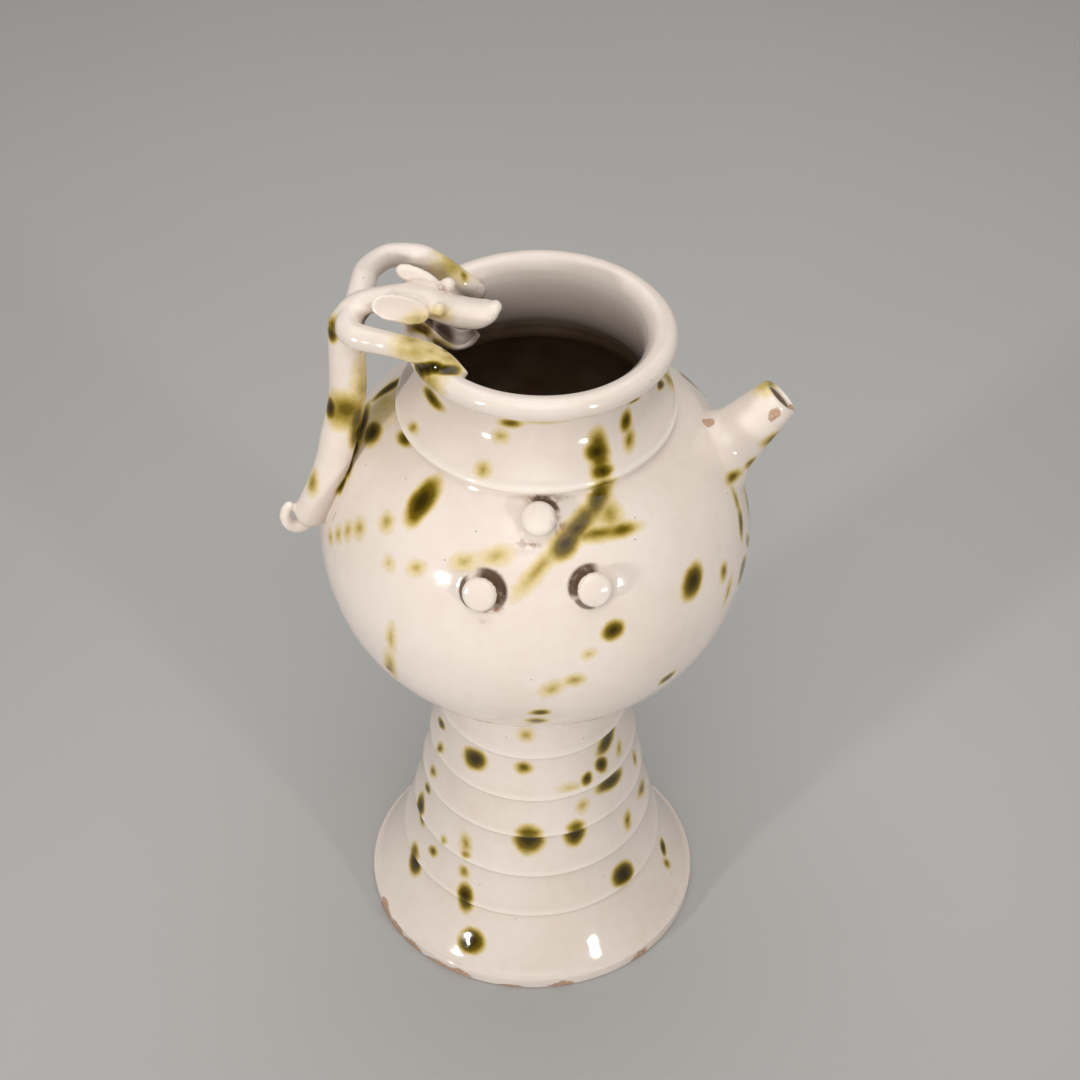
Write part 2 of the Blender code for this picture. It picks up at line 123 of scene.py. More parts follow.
# Body: a superellipse of revolution, fuller below its widest line than above
BODY_RADIUS = 0.0767
BODY_EQUATOR = 0.1892
BODY_RISE = 0.0585
BODY_DEPTH = 0.0563
RISE_POWERS = (1.73, 3.68)
DEPTH_POWERS = (1.82, 4.0)
BODY_WALL = 0.0055
CAVITY_RISE = 0.0555
CAVITY_DEPTH = 0.0503
BODY_FOOT_HEIGHT = 0.1380
SHOULDER_HEIGHT = 0.2420
LEDGE_HEIGHT = 0.2400
SHOULDER_GAP = 0.001
BODY_STEPS = (22, 26)
CAVITY_STEPS = (14, 16)
CAVITY_FLOOR_SHARE = 0.9985

# Collar: a thin flange over the shoulder, then a concave neck
FLANGE_RADIUS = 0.0482
FLANGE_HEIGHT = 0.2473
FLANGE_UNDERSIDE = 0.2448
FLANGE_ROOT = 0.0469
COLLAR_BASE = 0.2480
COLLAR_TOP = 0.2680
COLLAR_RADIUS = 0.0374
COLLAR_FLARE = 0.0105
COLLAR_POWER = 2.25
COLLAR_STEPS = 24
FLANGE_COVE = 0.0006
FLANGE_UNDERCUT = (0.0003, 0.0004)
FLANGE_ROUND = 0.7

# Lip: a rolled ring, and the throat below it
LIP_RADIUS = 0.0416
LIP_HEIGHT = 0.2747
LIP_ROLL = 0.0043
THROAT_RADIUS = 0.0344
THROAT_HEIGHT = 0.2660
THROAT_FOOT_RADIUS = 0.0400
THROAT_FOOT_HEIGHT = 0.2485
LEDGE_RADIUS = 0.0419
LIP_ANGLES = range(-118, 147, 12)
# The throat between lip and narrowest ring, and above its foot: inwards and up
THROAT_TOP = ((0.0020, LIP_HEIGHT + 0.0006), (0.0005, THROAT_HEIGHT + 0.0055))
THROAT_SHARES = (0.4, 0.75, 1.0)
LEDGE_DROP = 0.0035
MOUTH_TILT = math.radians(2.5)
MOUTH_SHIFT = 0.0011

# Spout: a plain tapered tube, its root spread where it is luted to the shoulder
SPOUT_MOUTH = (0.0845, 0.0083, 0.2418)
SPOUT_AZIMUTH = math.radians(13.5)
SPOUT_ELEVATION = math.radians(45.0)
SPOUT_MOUTH_RADIUS = 0.0076
SPOUT_ROOT_RADIUS = 0.0114
SPOUT_LENGTH = 0.0260
SPOUT_FILLET = 0.0030
SPOUT_BORE_RADIUS = 0.0049
SPOUT_BORE_ROOT_RADIUS = 0.0070
SPOUT_BORE_LENGTH = 0.0400
SPOUT_EASE = 0.0011
SPOUT_EASE_ANGLES = (0, 22, 45, 68, 90)
SPOUT_FACE = (0.0018, 0.0001)
SPOUT_FILLET_SHARE = 0.6
SPOUT_STEPS = 28
SPOUT_SIDES = 72
# Flare of the bore at the mouth: how far down, and how much wider
BORE_FLARE = ((-0.004, 0.0022), (0.0, 0.0008), (0.0006, 0.0003), (0.0016, 0.0))

# Studs: short discs standing out of the shoulder, each an azimuth and a height
STUDS = ((-88.6, 0.2385), (-104.4, 0.2190), (-73.5, 0.2204))
STUD_HEIGHT = 0.0045
STUD_ROOT_RADIUS = 0.0070
STUD_TOP_RADIUS = 0.0059
STUD_EASE = 0.0019
STUD_DOME = 0.0004
STUD_SEAT = 0.0030
STUD_SIDES = 48
# A stud's root and side: rise, and how much wider than its root or top. Its face: shares of dome and radius
STUD_ROOT = ((-STUD_SEAT, 0.0004), (0.0002, -0.0002))
STUD_SIDE = ((0.0010, 0.0003), (0.0017, 0.0))
STUD_FACE = ((0.45, 0.45), (0.1, 0.2))

# Dragon: each path point is X, Y, Z and the clay's half width there
COIL_PATH = (
    (-0.0778, -0.0150, 0.2066, 0.0059),
    (-0.0732, -0.0150, 0.2175, 0.0060),
    (-0.0695, -0.0140, 0.2280, 0.0061),
    (-0.0672, -0.0125, 0.2375, 0.0063),
    (-0.0649, -0.0105, 0.2465, 0.0064),
    (-0.0634, -0.0090, 0.2554, 0.0064),
    (-0.0630, -0.0070, 0.2692, 0.0064),
    (-0.0630, -0.0045, 0.2805, 0.0062),
)
TAIL_PATH = (
    (-0.0760, -0.0150, 0.2035, 0.0032),
    (-0.0788, -0.0150, 0.2012, 0.0024),
    (-0.0828, -0.0150, 0.1990, 0.0023),
    (-0.0859, -0.0150, 0.2004, 0.0023),
    (-0.0871, -0.0150, 0.2035, 0.0021),
    (-0.0865, -0.0150, 0.2073, 0.0018),
    (-0.0853, -0.0150, 0.2094, 0.0014),
)
FRONT_LEG_PATH = (
    (-0.0590, -0.0020, 0.2850, 0.0042),
    (-0.0620, -0.0085, 0.2838, 0.0044),
    (-0.0600, -0.0135, 0.2835, 0.0044),
    (-0.0540, -0.0162, 0.2835, 0.0043),
    (-0.0476, -0.0190, 0.2840, 0.0041),
    (-0.0408, -0.0205, 0.2830, 0.0041),
    (-0.0346, -0.0212, 0.2812, 0.0042),
    (-0.0286, -0.0242, 0.2795, 0.0036),
    (-0.0238, -0.0270, 0.2785, 0.0018),
)
BACK_LEG_PATH = (
    (-0.0600, 0.0000, 0.2830, 0.0045),
    (-0.0584, 0.0110, 0.2850, 0.0045),
    (-0.0577, 0.0180, 0.2850, 0.0044),
    (-0.0548, 0.0235, 0.2850, 0.0043),
    (-0.0503, 0.0270, 0.2855, 0.0042),
    (-0.0444, 0.0270, 0.2860, 0.0041),
    (-0.0386, 0.0270, 0.2850, 0.0041),
    (-0.0322, 0.0265, 0.2810, 0.0040),
    (-0.0260, 0.0260, 0.2760, 0.0038),
    (-0.0210, 0.0265, 0.2715, 0.0034),
)

# Head and jaws: each station is X, Y, Z of its middle, half width and half height
HEAD_STATIONS = (
    (-0.0632, -0.0035, 0.2815, 0.0050, 0.0050),
    (-0.0608, -0.0025, 0.2850, 0.0048, 0.0046),
    (-0.0565, -0.0010, 0.2872, 0.0045, 0.0040),
    (-0.0510, 0.0000, 0.2880, 0.0044, 0.0040),
    (-0.0440, 0.0000, 0.2888, 0.0047, 0.0044),
    (-0.0375, 0.0000, 0.2874, 0.0053, 0.0048),
    (-0.0320, 0.0000, 0.2852, 0.0060, 0.0048),
    (-0.0260, 0.0000, 0.2830, 0.0066, 0.0046),
    (-0.0200, 0.0000, 0.2822, 0.0064, 0.0042),
    (-0.0158, 0.0000, 0.2834, 0.0052, 0.0034),
    (-0.0138, 0.0000, 0.2850, 0.0032, 0.0022),
)
JAW_STATIONS = (
    (-0.0420, 0.0000, 0.2825, 0.0032, 0.0026),
    (-0.0373, 0.0000, 0.2780, 0.0044, 0.0028),
    (-0.0320, 0.0000, 0.2728, 0.0052, 0.0024),
    (-0.0270, 0.0000, 0.2700, 0.0052, 0.0020),
    (-0.0225, 0.0000, 0.2708, 0.0042, 0.0017),
    (-0.0200, 0.0000, 0.2732, 0.0022, 0.0012),
)
JAW_CUP = 0.0018
JAW_DISH = 0.55

# Ears and eyes: an ear is a root, a tip, a direction across it, its half width, half thickness, cup and dish
NEAR_EAR = ((-0.0352, -0.0068, 0.2864), (-0.0545, -0.0072, 0.2914), (-0.15, -0.62, -0.78),
            0.0047, 0.0014, 0.0012, 0.62)
FAR_EAR = ((-0.0320, 0.0040, 0.2892), (-0.0468, 0.0070, 0.2956), (0.30, 0.30, 0.90),
           0.0035, 0.0013, 0.0004, 0.3)
EAR_FULLNESS = 2.3
EAR_STATIONS = 28
NEAR_EYE = (-0.0322, -0.0050, 0.2876)
NEAR_EYE_RADIUS = 0.0025
FAR_EYE = (-0.0295, 0.0050, 0.2902)
FAR_EYE_RADIUS = 0.0026
COIL_SIDES = 32
PELLET_SIDES = 24
PATH_STEPS = 8
# Rounded ends of a coil and of a modelled form: shares of the way to the tip
COIL_END = (0.3, 0.6, 0.82, 0.95)
FORM_END = (0.5, 0.8, 0.95)
# A dished form's rim: the share of its half width where the dish starts, and how soon it is deep
DISH_RIM = 0.86
DISH_EASE = 0.3

# Splashes of green glaze: azimuth, height in mm, half length, half width, lean to the right, and strength,
# which is 1 where the middle is near black
SPLASHES = (
    # neck
    (-104.2, 264.7, 4.2, 1.6, 83, 0.65), (-88.0, 266.5, 7.5, 0.9, 90, 0.36),
    (-108.2, 259.7, 1.9, 1.9, 0, 0.35), (-112.6, 250.2, 2.2, 2.0, 0, 0.37),
    (-153.4, 249.6, 2.2, 1.5, 87, 0.45), (-61.2, 254.0, 8.4, 3.7, 8, 0.76),
    (-62.0, 254.2, 4.6, 3.8, -78, 1.02), (-61.8, 249.2, 4.2, 3.6, -85, 0.88),
    (-42.4, 258.5, 4.0, 2.7, 30, 0.8), (-44.4, 253.3, 3.4, 2.1, 44, 0.52),
    (-34.2, 263.0, 4.0, 0.9, -72, 0.65), (-3.8, 254.9, 4.3, 1.6, -65, 0.94),
    (8.0, 250.5, 3.6, 2.8, 70, 0.4), (-154.7, 259.2, 8.0, 2.2, 82, 0.9),
    # shoulder, beside the neck and the coil: green glaze, with dark strokes along the coil and under the lip
    # as painted shadow of the crevice and of the lip
    (-61.9, 245.0, 5.6, 3.2, -80, 0.78), (-158.9, 241.8, 4.8, 2.6, 80, 0.85),
    (-172.7, 235.8, 6.3, 4.6, 85, 1.02), (178.0, 232.2, 12.0, 3.8, -87, 1.07),
    (-173.4, 229.4, 5.6, 3.2, -80, 1.05), (-168.9, 226.2, 5.2, 2.9, -62, 1.02),
    (-165.8, 221.6, 4.8, 1.9, -23, 0.95), (174.9, 238.9, 8.6, 6.0, 88, 0.31),
    (165.0, 238.2, 7.6, 3.4, -30, 1.02),
    # the forked run beside the top stud
    (-75.5, 236.4, 13.5, 3.9, 48, 0.82), (-80.1, 233.2, 7.0, 4.4, 47, 0.92),
    (-88.2, 227.5, 9.4, 2.1, 40, 0.38), (-65.0, 240.8, 9.5, 3.7, 38, 0.8),
    (-68.6, 234.2, 12.8, 2.4, -86, 0.52), (-60.8, 233.4, 6.0, 2.4, -82, 0.66),
    (-63.2, 237.6, 4.4, 3.4, -2, 0.42),
    # shoulder and body, front
    (-131.9, 236.1, 10.0, 4.7, 2, 1.04), (-139.6, 226.5, 2.4, 2.4, 0, 0.36),
    (-148.5, 218.4, 2.7, 2.4, -50, 0.36), (-152.6, 213.9, 2.6, 2.2, 0, 0.34),
    (-156.6, 208.8, 2.4, 2.2, 0, 0.34), (-160.6, 203.4, 2.2, 2.0, 0, 0.34),
    (-133.5, 216.5, 2.0, 2.0, 0, 0.27), (-124.4, 220.0, 2.8, 1.8, 52, 0.32),
    (-110.6, 226.7, 3.6, 2.2, 64, 0.32), (-101.5, 229.8, 4.1, 2.4, 67, 0.32),
    (-69.1, 204.5, 4.3, 3.8, 58, 0.95), (-75.8, 197.4, 1.8, 1.8, 0, 0.28),
    (-79.3, 186.1, 2.5, 2.3, 75, 0.42), (-85.0, 182.6, 3.5, 2.5, 42, 0.34),
    (-87.7, 167.7, 3.6, 2.4, 88, 0.75), (-88.9, 160.4, 3.8, 2.8, 88, 0.7),
    (-43.2, 208.7, 7.0, 5.0, 38, 1.05), (-30.2, 201.6, 3.2, 2.4, 20, 0.56),
    (-28.7, 191.3, 4.2, 1.6, 30, 0.38), (-17.5, 188.0, 5.6, 4.8, 20, 1.01),
    (-10.9, 194.2, 4.2, 2.3, -33, 0.7), (-14.7, 207.0, 6.2, 2.7, 24, 0.78),
    (-12.8, 214.8, 5.0, 1.8, 12, 0.46), (-3.5, 202.3, 7.0, 2.4, 12, 0.55),
    (-8.4, 220.6, 6.0, 2.2, -66, 0.64), (-50.5, 168.1, 3.7, 3.1, 66, 0.85),
    (-129.0, 189.0, 5.0, 1.6, 5, 0.34), (-131.5, 171.5, 7.4, 2.1, 13, 0.42),
    (-132.6, 168.6, 3.4, 2.1, 20, 0.6),
    # foot, front
    (-126.4, 94.4, 6.2, 5.1, 59, 1.2), (-95.4, 97.1, 3.4, 3.1, 88, 0.7),
    (-93.8, 114.2, 2.3, 2.2, 0, 0.4), (-163.3, 93.1, 4.8, 2.1, 71, 1.0),
    (-155.9, 84.5, 3.1, 2.1, 30, 0.6), (-159.2, 70.1, 2.8, 2.1, 54, 0.55),
    (-162.8, 57.8, 3.4, 2.3, 67, 0.85), (-162.3, 46.3, 7.3, 4.4, -26, 1.15),
    (-154.4, 25.5, 6.8, 5.0, -32, 1.2), (-145.1, 37.3, 3.1, 2.5, 62, 0.75),
    (-137.9, 47.2, 2.1, 1.9, 0, 0.5), (-125.3, 52.7, 3.1, 2.0, -8, 0.42),
    (-123.8, 47.9, 2.0, 1.9, 0, 0.5), (-124.0, 39.0, 2.6, 2.3, -10, 0.58),
    (-120.5, 28.5, 6.8, 4.0, -9, 1.12), (-113.9, 12.4, 6.4, 5.9, 26, 1.5),
    (-91.2, 62.5, 7.6, 6.6, 2, 1.15), (-66.6, 62.7, 6.8, 4.9, 1, 1.12),
    (-61.0, 74.6, 2.3, 2.0, 0, 0.36), (-38.4, 97.8, 7.0, 4.5, 60, 1.07),
    (-46.0, 89.4, 4.0, 3.2, -20, 1.04), (-57.2, 86.8, 2.9, 2.6, 18, 0.9),
    (-39.9, 77.7, 9.3, 4.0, -84, 1.15), (-68.4, 85.9, 3.6, 1.4, -84, 0.26),
    (-28.8, 88.8, 2.4, 1.5, 30, 0.4), (-11.2, 72.0, 3.0, 2.0, 15, 0.5),
    (-10.4, 54.0, 5.4, 2.6, -72, 0.6), (-31.7, 53.0, 3.7, 2.3, 14, 0.55),
    (-42.8, 32.0, 6.2, 5.8, -85, 1.25), (-9.4, 19.5, 3.8, 2.6, 48, 1.02),
    (-13.8, 15.2, 2.4, 1.9, -14, 0.6),
    # away from the photograph's view, in keeping
    (28.0, 231.0, 5.2, 3.2, 30, 0.95), (34.0, 222.0, 3.2, 2.0, 20, 0.48),
    (58.0, 214.0, 7.2, 4.8, -12, 1.04), (72.0, 201.0, 2.8, 2.4, 0, 0.7),
    (84.0, 188.0, 2.2, 2.1, 0, 0.38), (97.0, 226.0, 7.0, 2.8, 40, 0.85),
    (102.0, 219.5, 5.4, 2.2, 36, 0.55), (122.0, 205.0, 6.0, 4.4, 10, 1.02),
    (136.0, 228.0, 2.4, 2.1, 0, 0.48), (145.0, 190.0, 3.8, 2.8, -20, 0.85),
    (66.0, 256.0, 6.8, 3.0, 4, 0.75), (118.0, 258.0, 3.8, 2.2, 10, 0.85),
    (20.0, 92.0, 5.2, 3.8, 20, 1.06), (48.0, 70.0, 3.2, 2.6, 0, 0.8), (75.0, 40.0, 6.2, 5.0, 8, 1.08),
    (102.0, 88.0, 5.6, 4.2, -20, 1.07), (126.0, 58.0, 2.6, 2.1, 0, 0.5),
    (140.0, 24.0, 6.0, 4.4, 6, 1.07), (165.0, 75.0, 3.4, 2.4, -14, 0.8), (40.0, 14.0, 3.2, 2.5, 0, 0.8),
    (176.0, 180.0, 3.2, 2.3, 0, 0.48),
)
# Where the foot's splashes end, in mm, where its glaze ends, and how deep a splash reaches in, in mm
FOOT_SPLASH_TOP = 130.0
BODY_GLAZE_HEIGHT = WAIST_HEIGHT + 0.002
SPLASH_DEPTH = 3.2
SPLASH_SOFTNESS = 1.2

# A splash's field: what a strength makes of its middle, where its edge and the end of its halo are
FIELD_AT_NOTHING = 2.4
FIELD_PER_STRENGTH = -7.5
FIELD_AT_EDGE = 0.7
FIELD_AT_HALO = 2.1
FIELD_LIMIT = 6.0
WIDEST_HALO = 2.0
RAMP_PER_FIELD = 0.12
RAMP_AT_EDGE = 0.72
EDGE_GRAIN = 0.2
POOL_DRIFT = 0.14
# How far a splash's edge wanders, and how ragged it and a crackle line are
WANDER = 0.0014
RAGGED_EDGE = 0.0002
RAGGED_CRACK = 0.0009

# Pools of green glaze on the spout and the dragon: X, Y, Z and half sizes along X, Y, Z in mm, strength
POOLS = (
    # spout
    (76.5, 9.5, 247.5, 6.0, 5.0, 2.6, 0.44), (82.5, 12.5, 245.2, 4.5, 5.5, 3.6, 0.62),
    (82.0, -0.6, 229.5, 5.4, 3.2, 3.0, 0.6), (75.5, -4.4, 221.5, 3.6, 2.6, 2.4, 0.75),
    # coil: a broad band, dark at both ends, with a thin yellow run above it
    (-69.4, -13.6, 252.2, 3.2, 3.8, 4.6, 1.15), (-63.6, -15.8, 252.8, 8.0, 5.4, 6.6, 0.62),
    (-59.6, -15.5, 247.5, 3.6, 5.4, 9.0, 0.8), (-60.2, -14.6, 241.4, 3.4, 4.8, 6.6, 0.9),
    (-57.6, -13.0, 259.0, 2.8, 6.0, 6.0, 0.4), (-57.8, -12.0, 266.0, 2.0, 5.0, 7.0, 0.26),
    (-76.6, -18.6, 223.4, 2.2, 2.8, 4.4, 0.48),
    # bend of the near foreleg, and its wrist
    (-67.0, -8.4, 282.9, 3.4, 4.0, 2.8, 0.58), (-67.8, -9.2, 280.0, 2.6, 4.2, 3.2, 0.95),
    (-40.4, -20.9, 287.2, 4.6, 3.0, 1.6, 0.38), (-38.6, -23.3, 285.0, 6.0, 3.6, 3.4, 0.38),
    (-34.1, -23.1, 284.7, 3.4, 2.6, 2.4, 0.38), (-29.0, -24.8, 283.0, 4.6, 3.0, 3.0, 0.38),
    (-29.6, -21.6, 283.6, 2.6, 1.0, 0.9, 0.62), (-38.0, -23.6, 277.8, 5.0, 4.4, 3.6, 1.25),
    (-35.8, -25.4, 279.4, 4.6, 3.4, 2.6, 1.3), (-33.0, -26.2, 280.6, 4.4, 3.2, 2.3, 1.35),
    (-28.6, -27.4, 280.4, 4.8, 2.8, 2.0, 1.3), (-34.0, -28.6, 276.4, 7.0, 3.8, 3.0, 0.42),
    (-38.4, -25.8, 273.6, 2.6, 2.8, 2.8, 0.8),
    # far foreleg
    (-28.4, 25.0, 282.8, 6.4, 4.4, 3.8, 0.38), (-25.0, 24.2, 280.6, 1.6, 1.8, 4.2, 0.6),
    # head
    (-39.3, -8.9, 286.0, 3.6, 2.4, 2.0, 0.33), (-32.0, -6.6, 286.6, 3.4, 2.2, 2.2, 0.32),
    (-38.5, -4.0, 277.6, 3.4, 3.4, 3.4, 0.85), (-33.0, -5.0, 273.2, 4.0, 2.0, 2.4, 0.4),
    (-60.5, -2.5, 279.6, 3.0, 3.0, 2.6, 0.7),
)

# Bare clay: X, Y, Z and half sizes in mm
BARE_PATCHES = (
    (59.4, 2.3, 234.6, 2.3, 2.3, 2.8), (81.9, -0.4, 241.0, 2.2, 2.2, 2.0),
    (80.8, -1.4, 239.0, 1.8, 1.2, 0.9), (87.8, 7.0, 238.6, 2.0, 2.8, 2.4),
    (-58.1, -29.5, 2.4, 4.6, 7.6, 4.0), (-53.0, -38.0, 1.6, 5.0, 7.0, 3.4),
    (-46.5, -45.6, 1.3, 6.4, 6.2, 3.0), (-36.0, -54.2, 0.9, 7.0, 5.0, 1.9),
    (-27.4, -59.0, 1.2, 7.4, 3.6, 2.9), (-8.0, -65.4, 0.9, 6.0, 2.0, 1.2),
    (12.7, -64.2, 1.0, 6.0, 3.0, 2.7), (43.5, -49.2, 1.6, 4.6, 5.0, 3.0),
    (30.0, 56.0, 2.0, 5.0, 2.6, 1.6), (-20.0, 58.6, 1.6, 4.0, 1.8, 1.4),
    (62.5, 8.0, 1.6, 1.8, 4.6, 1.3), (-58.0, 24.0, 2.0, 2.6, 4.0, 1.4),
)

# Brown dirt: X, Y, Z and half sizes in mm
DIRT = (
    (5.0, -47.8, 243.0, 10.0, 3.0, 2.0), (7.0, -54.6, 241.0, 3.0, 3.6, 4.0),
    (9.6, -55.4, 236.4, 3.0, 3.0, 3.6), (-3.0, -58.8, 232.8, 5.5, 3.4, 2.0),
    (-15.0, -65.9, 225.3, 5.0, 3.0, 2.2), (-15.0, -70.6, 214.6, 6.0, 2.6, 2.0),
    (-16.0, -72.6, 209.4, 4.4, 2.4, 1.2), (16.5, -71.0, 218.0, 4.6, 2.4, 1.8),
    (13.4, -69.4, 222.0, 1.8, 2.4, 3.6), (-57.0, -6.8, 283.6, 5.0, 4.0, 2.6),
    (-47.0, -4.0, 283.4, 12.0, 5.0, 2.4), (-45.0, 26.0, 281.2, 12.0, 4.0, 2.0),
    (-35.5, -7.6, 286.2, 1.8, 1.8, 3.4), (-29.8, 3.4, 289.4, 5.0, 4.6, 3.0),
    (-20.5, 26.0, 272.5, 3.6, 4.4, 3.0), (-79.0, -15.0, 204.0, 2.6, 3.6, 2.4),
)

# Brown stain with painted shade in the dragon's mouth and under its neck: X, Y, Z and half sizes in mm
STAINS_AND_SHADE = (
    (-28.4, 0.0, 274.2, 9.6, 4.8, 3.4), (-37.0, 0.0, 279.0, 5.0, 5.4, 3.0),
    (-55.5, -5.5, 283.2, 5.6, 3.6, 2.4), (-47.0, -2.0, 282.6, 8.0, 4.0, 2.4),
)

# Painted shadow and dirt in crescents round the studs: which stud, angle from its right, half span, width in
# mm, darkness
STUD_SHADOWS_AND_DIRT = ((0, 65.0, 50.0, 1.5, 0.95), (1, 35.0, 85.0, 2.3, 1.0), (1, 190.0, 60.0, 0.7, 0.9),
            (2, 135.0, 75.0, 2.0, 1.0), (2, 235.0, 40.0, 0.7, 0.8))

# Crackle lines in mm: one round the root of the coil, a shorter one beside it and a notch at a stud
CRACKS = (
    ((-60.2, -15.5, 229.8), (-62.6, -20.6, 224.3), (-66.4, -22.6, 216.6), (-69.6, -22.6, 210.0),
     (-72.0, -21.4, 204.5)),
    ((-60.6, -20.8, 227.4), (-64.0, -24.0, 219.8), (-67.6, -24.8, 212.4)),
    ((-18.0, -67.4, 224.6), (-17.6, -68.4, 222.6), (-17.4, -69.2, 220.6)),
)
# Half the width of a crackle line, in mm
CRACK_HALF_WIDTH = 0.16

# The biggest drop of glaze, which stands proud: azimuth, height, radius, rise
BEAD = (-113.2, 0.0123, 0.0058, 0.0005)

# Finish: the line where the wash inside starts, below which the inside is darkened as painted shade of the
# cavity; the lighter tone of the wash and of bare clay
WASH_LINE = (0.2445, 0.2540)
THIN_WASH = (0.24, 0.17, 0.11, 1.0)
PALE_CLAY = (0.60, 0.42, 0.30, 1.0)
NO_TINT = (1.0, 1.0, 1.0, 1.0)
SPECKS_PER_METRE = 210.0
GLAZE_IOR = 1.42
# Relief in mm: the glaze's orange peel, throwing rings and pits, the clay's grain and the glaze's thickness
ORANGE_PEEL = 0.030
THROWING_RINGS = 0.030
SPECK_PIT = 0.08
CLAY_GRAIN = 0.4
GLAZE_STEP = 0.5

# Joining: share, rounds and wear of bulges with which clay is softened, and the facets near a seam
KNEAD = (0.5, 10, 0.3)
SEAM_SHARE = 0.6
SEAM_ROUNDS = 14
SEAM_WEAR = 0.5
SEAM_CORE = 0.4
SEAM_PASSES = 3
SEAM_LIMIT = 0.01
LONGEST_FACET = 0.0008
SHORTEST_FACET = 0.00009
FEWEST_POINTS = 20000

# Marks on the surface that the glaze reads
MARKS = ("thin_edge", "crease", "bulge", "seam", "body_inside", "foot_inside", "pool", "bare_gap",
         "grime", "stain", "crevice")
# How far off a surface a point still counts as on it: bore, ground, ledge, and the throat's height and radius
SKIN = 0.0002
GROUND_SKIN = 0.0003
LEDGE_SKIN = 0.0015
THROAT_SKIN = (0.001, 0.0016)
SPOUT_SIDE = 0.05
# Where each mark starts to fade and where it ends
RIDGE_SPREAD = (0.00025, 0.0011)
FLANGE_SPREAD = (0.0008, 0.0022)
SEAM_SPREAD = (0.0004, 0.0040)
# A stud's painted shadow: how its edge fades, how far it goes in under the stud, and how far above and below
# the wall
STUD_SHADOW_EASE = 0.0002
STUD_SHADOW_INSET = 0.0012
STUD_SHADOW_SINK = 0.001
STUD_SHADOW_HALF_DEPTH = 0.0032
# Bend of the surface, per metre: its limit, and what makes a full crease or bulge
BEND_LIMIT = 900.0
BEND_ROUNDS = 8
CREASE_BEND = 160.0
BULGE_BEND = 240.0
BULGE_START = 0.25

# Camera, fitted to the photograph: place, fall below the horizon, roll, and focal length in image pixels
CAMERA_PLACE = (0.00187, -0.6279, 0.7700)
CAMERA_FALL = 0.754456
CAMERA_ROLL = 0.0128357
FOCAL_PIXELS = 2392.38
IMAGE_PIXELS = 1080
SENSOR_WIDTH = 36.0
NEAREST_SEEN = 0.01

# Lamps, aimed at the body: azimuth, elevation, distance, width, height and beam; powers are in JarStudio
LAMP_AIM = (0.0, 0.0, 0.19)
LAMPS = {
    "top": (0.0, 89.0, 1.1, 1.20, 1.20, 180.0),
    "back": (90.0, 68.0, 1.1, 1.10, 1.10, 180.0),
    "front": (-90.0, 52.0, 1.3, 1.60, 1.60, 60.0),
    "left": (-135.0, 8.0, 1.1, 0.085, 0.05, 50.0),
    "right": (-50.0, 8.0, 1.1, 0.085, 0.05, 50.0),
}
LAMP_COLOUR = (1.0, 0.985, 0.965)
ROOM_COLOUR = (1.0, 0.98, 0.96, 1.0)
FLOOR_ROUGHNESS = 0.9
FLOOR_GLOSS = 0.2


class JarSizes(bpy.types.PropertyGroup):
    """Main sizes of the jar, and how finely its clay is worked."""
    turned_sides: bpy.props.IntProperty(
        name="Turned sides", description="Facets round the thrown form", default=168, min=48, max=400)
    clay_grain: bpy.props.FloatProperty(
        name="Clay grain", description="Facet size of the hand-modelled clay", default=0.00065,
        unit="LENGTH")
    seam_reach: bpy.props.FloatProperty(
        name="Seam reach", description="How far from a seam the joined clay is softened",
        default=0.0026, unit="LENGTH")
    wobble: bpy.props.FloatProperty(
        name="Wobble", description="Height of the thrown wall's soft unevenness", default=0.00016,
        unit="LENGTH")
    body_radius: bpy.props.FloatProperty(
        name="Body radius", description="Half the width of the round body", default=BODY_RADIUS,
        unit="LENGTH")
    body_wall: bpy.props.FloatProperty(
        name="Body wall", description="Thickness of the wall at the body's widest line",
        default=BODY_WALL, unit="LENGTH")
    foot_wall: bpy.props.FloatProperty(
        name="Foot wall", description="Thickness of the foot's wall below its ridges",
        default=FOOT_WALL, unit="LENGTH")
    ridge_depth: bpy.props.FloatProperty(
        name="Ridge depth", description="How far a ridge stands out over the tier below it",
        default=RIDGE_DEPTH, unit="LENGTH")
    lip_roll: bpy.props.FloatProperty(
        name="Lip roll", description="Radius of the rolled lip's round", default=LIP_ROLL,
        unit="LENGTH")
    spout_mouth_radius: bpy.props.FloatProperty(
        name="Spout mouth", description="Outer radius of the spout at its mouth",
        default=SPOUT_MOUTH_RADIUS, unit="LENGTH")
    spout_bore_radius: bpy.props.FloatProperty(
        name="Spout bore", description="Radius of the hole at the spout's mouth",
        default=SPOUT_BORE_RADIUS, unit="LENGTH")
    stud_height: bpy.props.FloatProperty(
        name="Stud height", description="How far a stud stands out of the body", default=STUD_HEIGHT,
        unit="LENGTH")


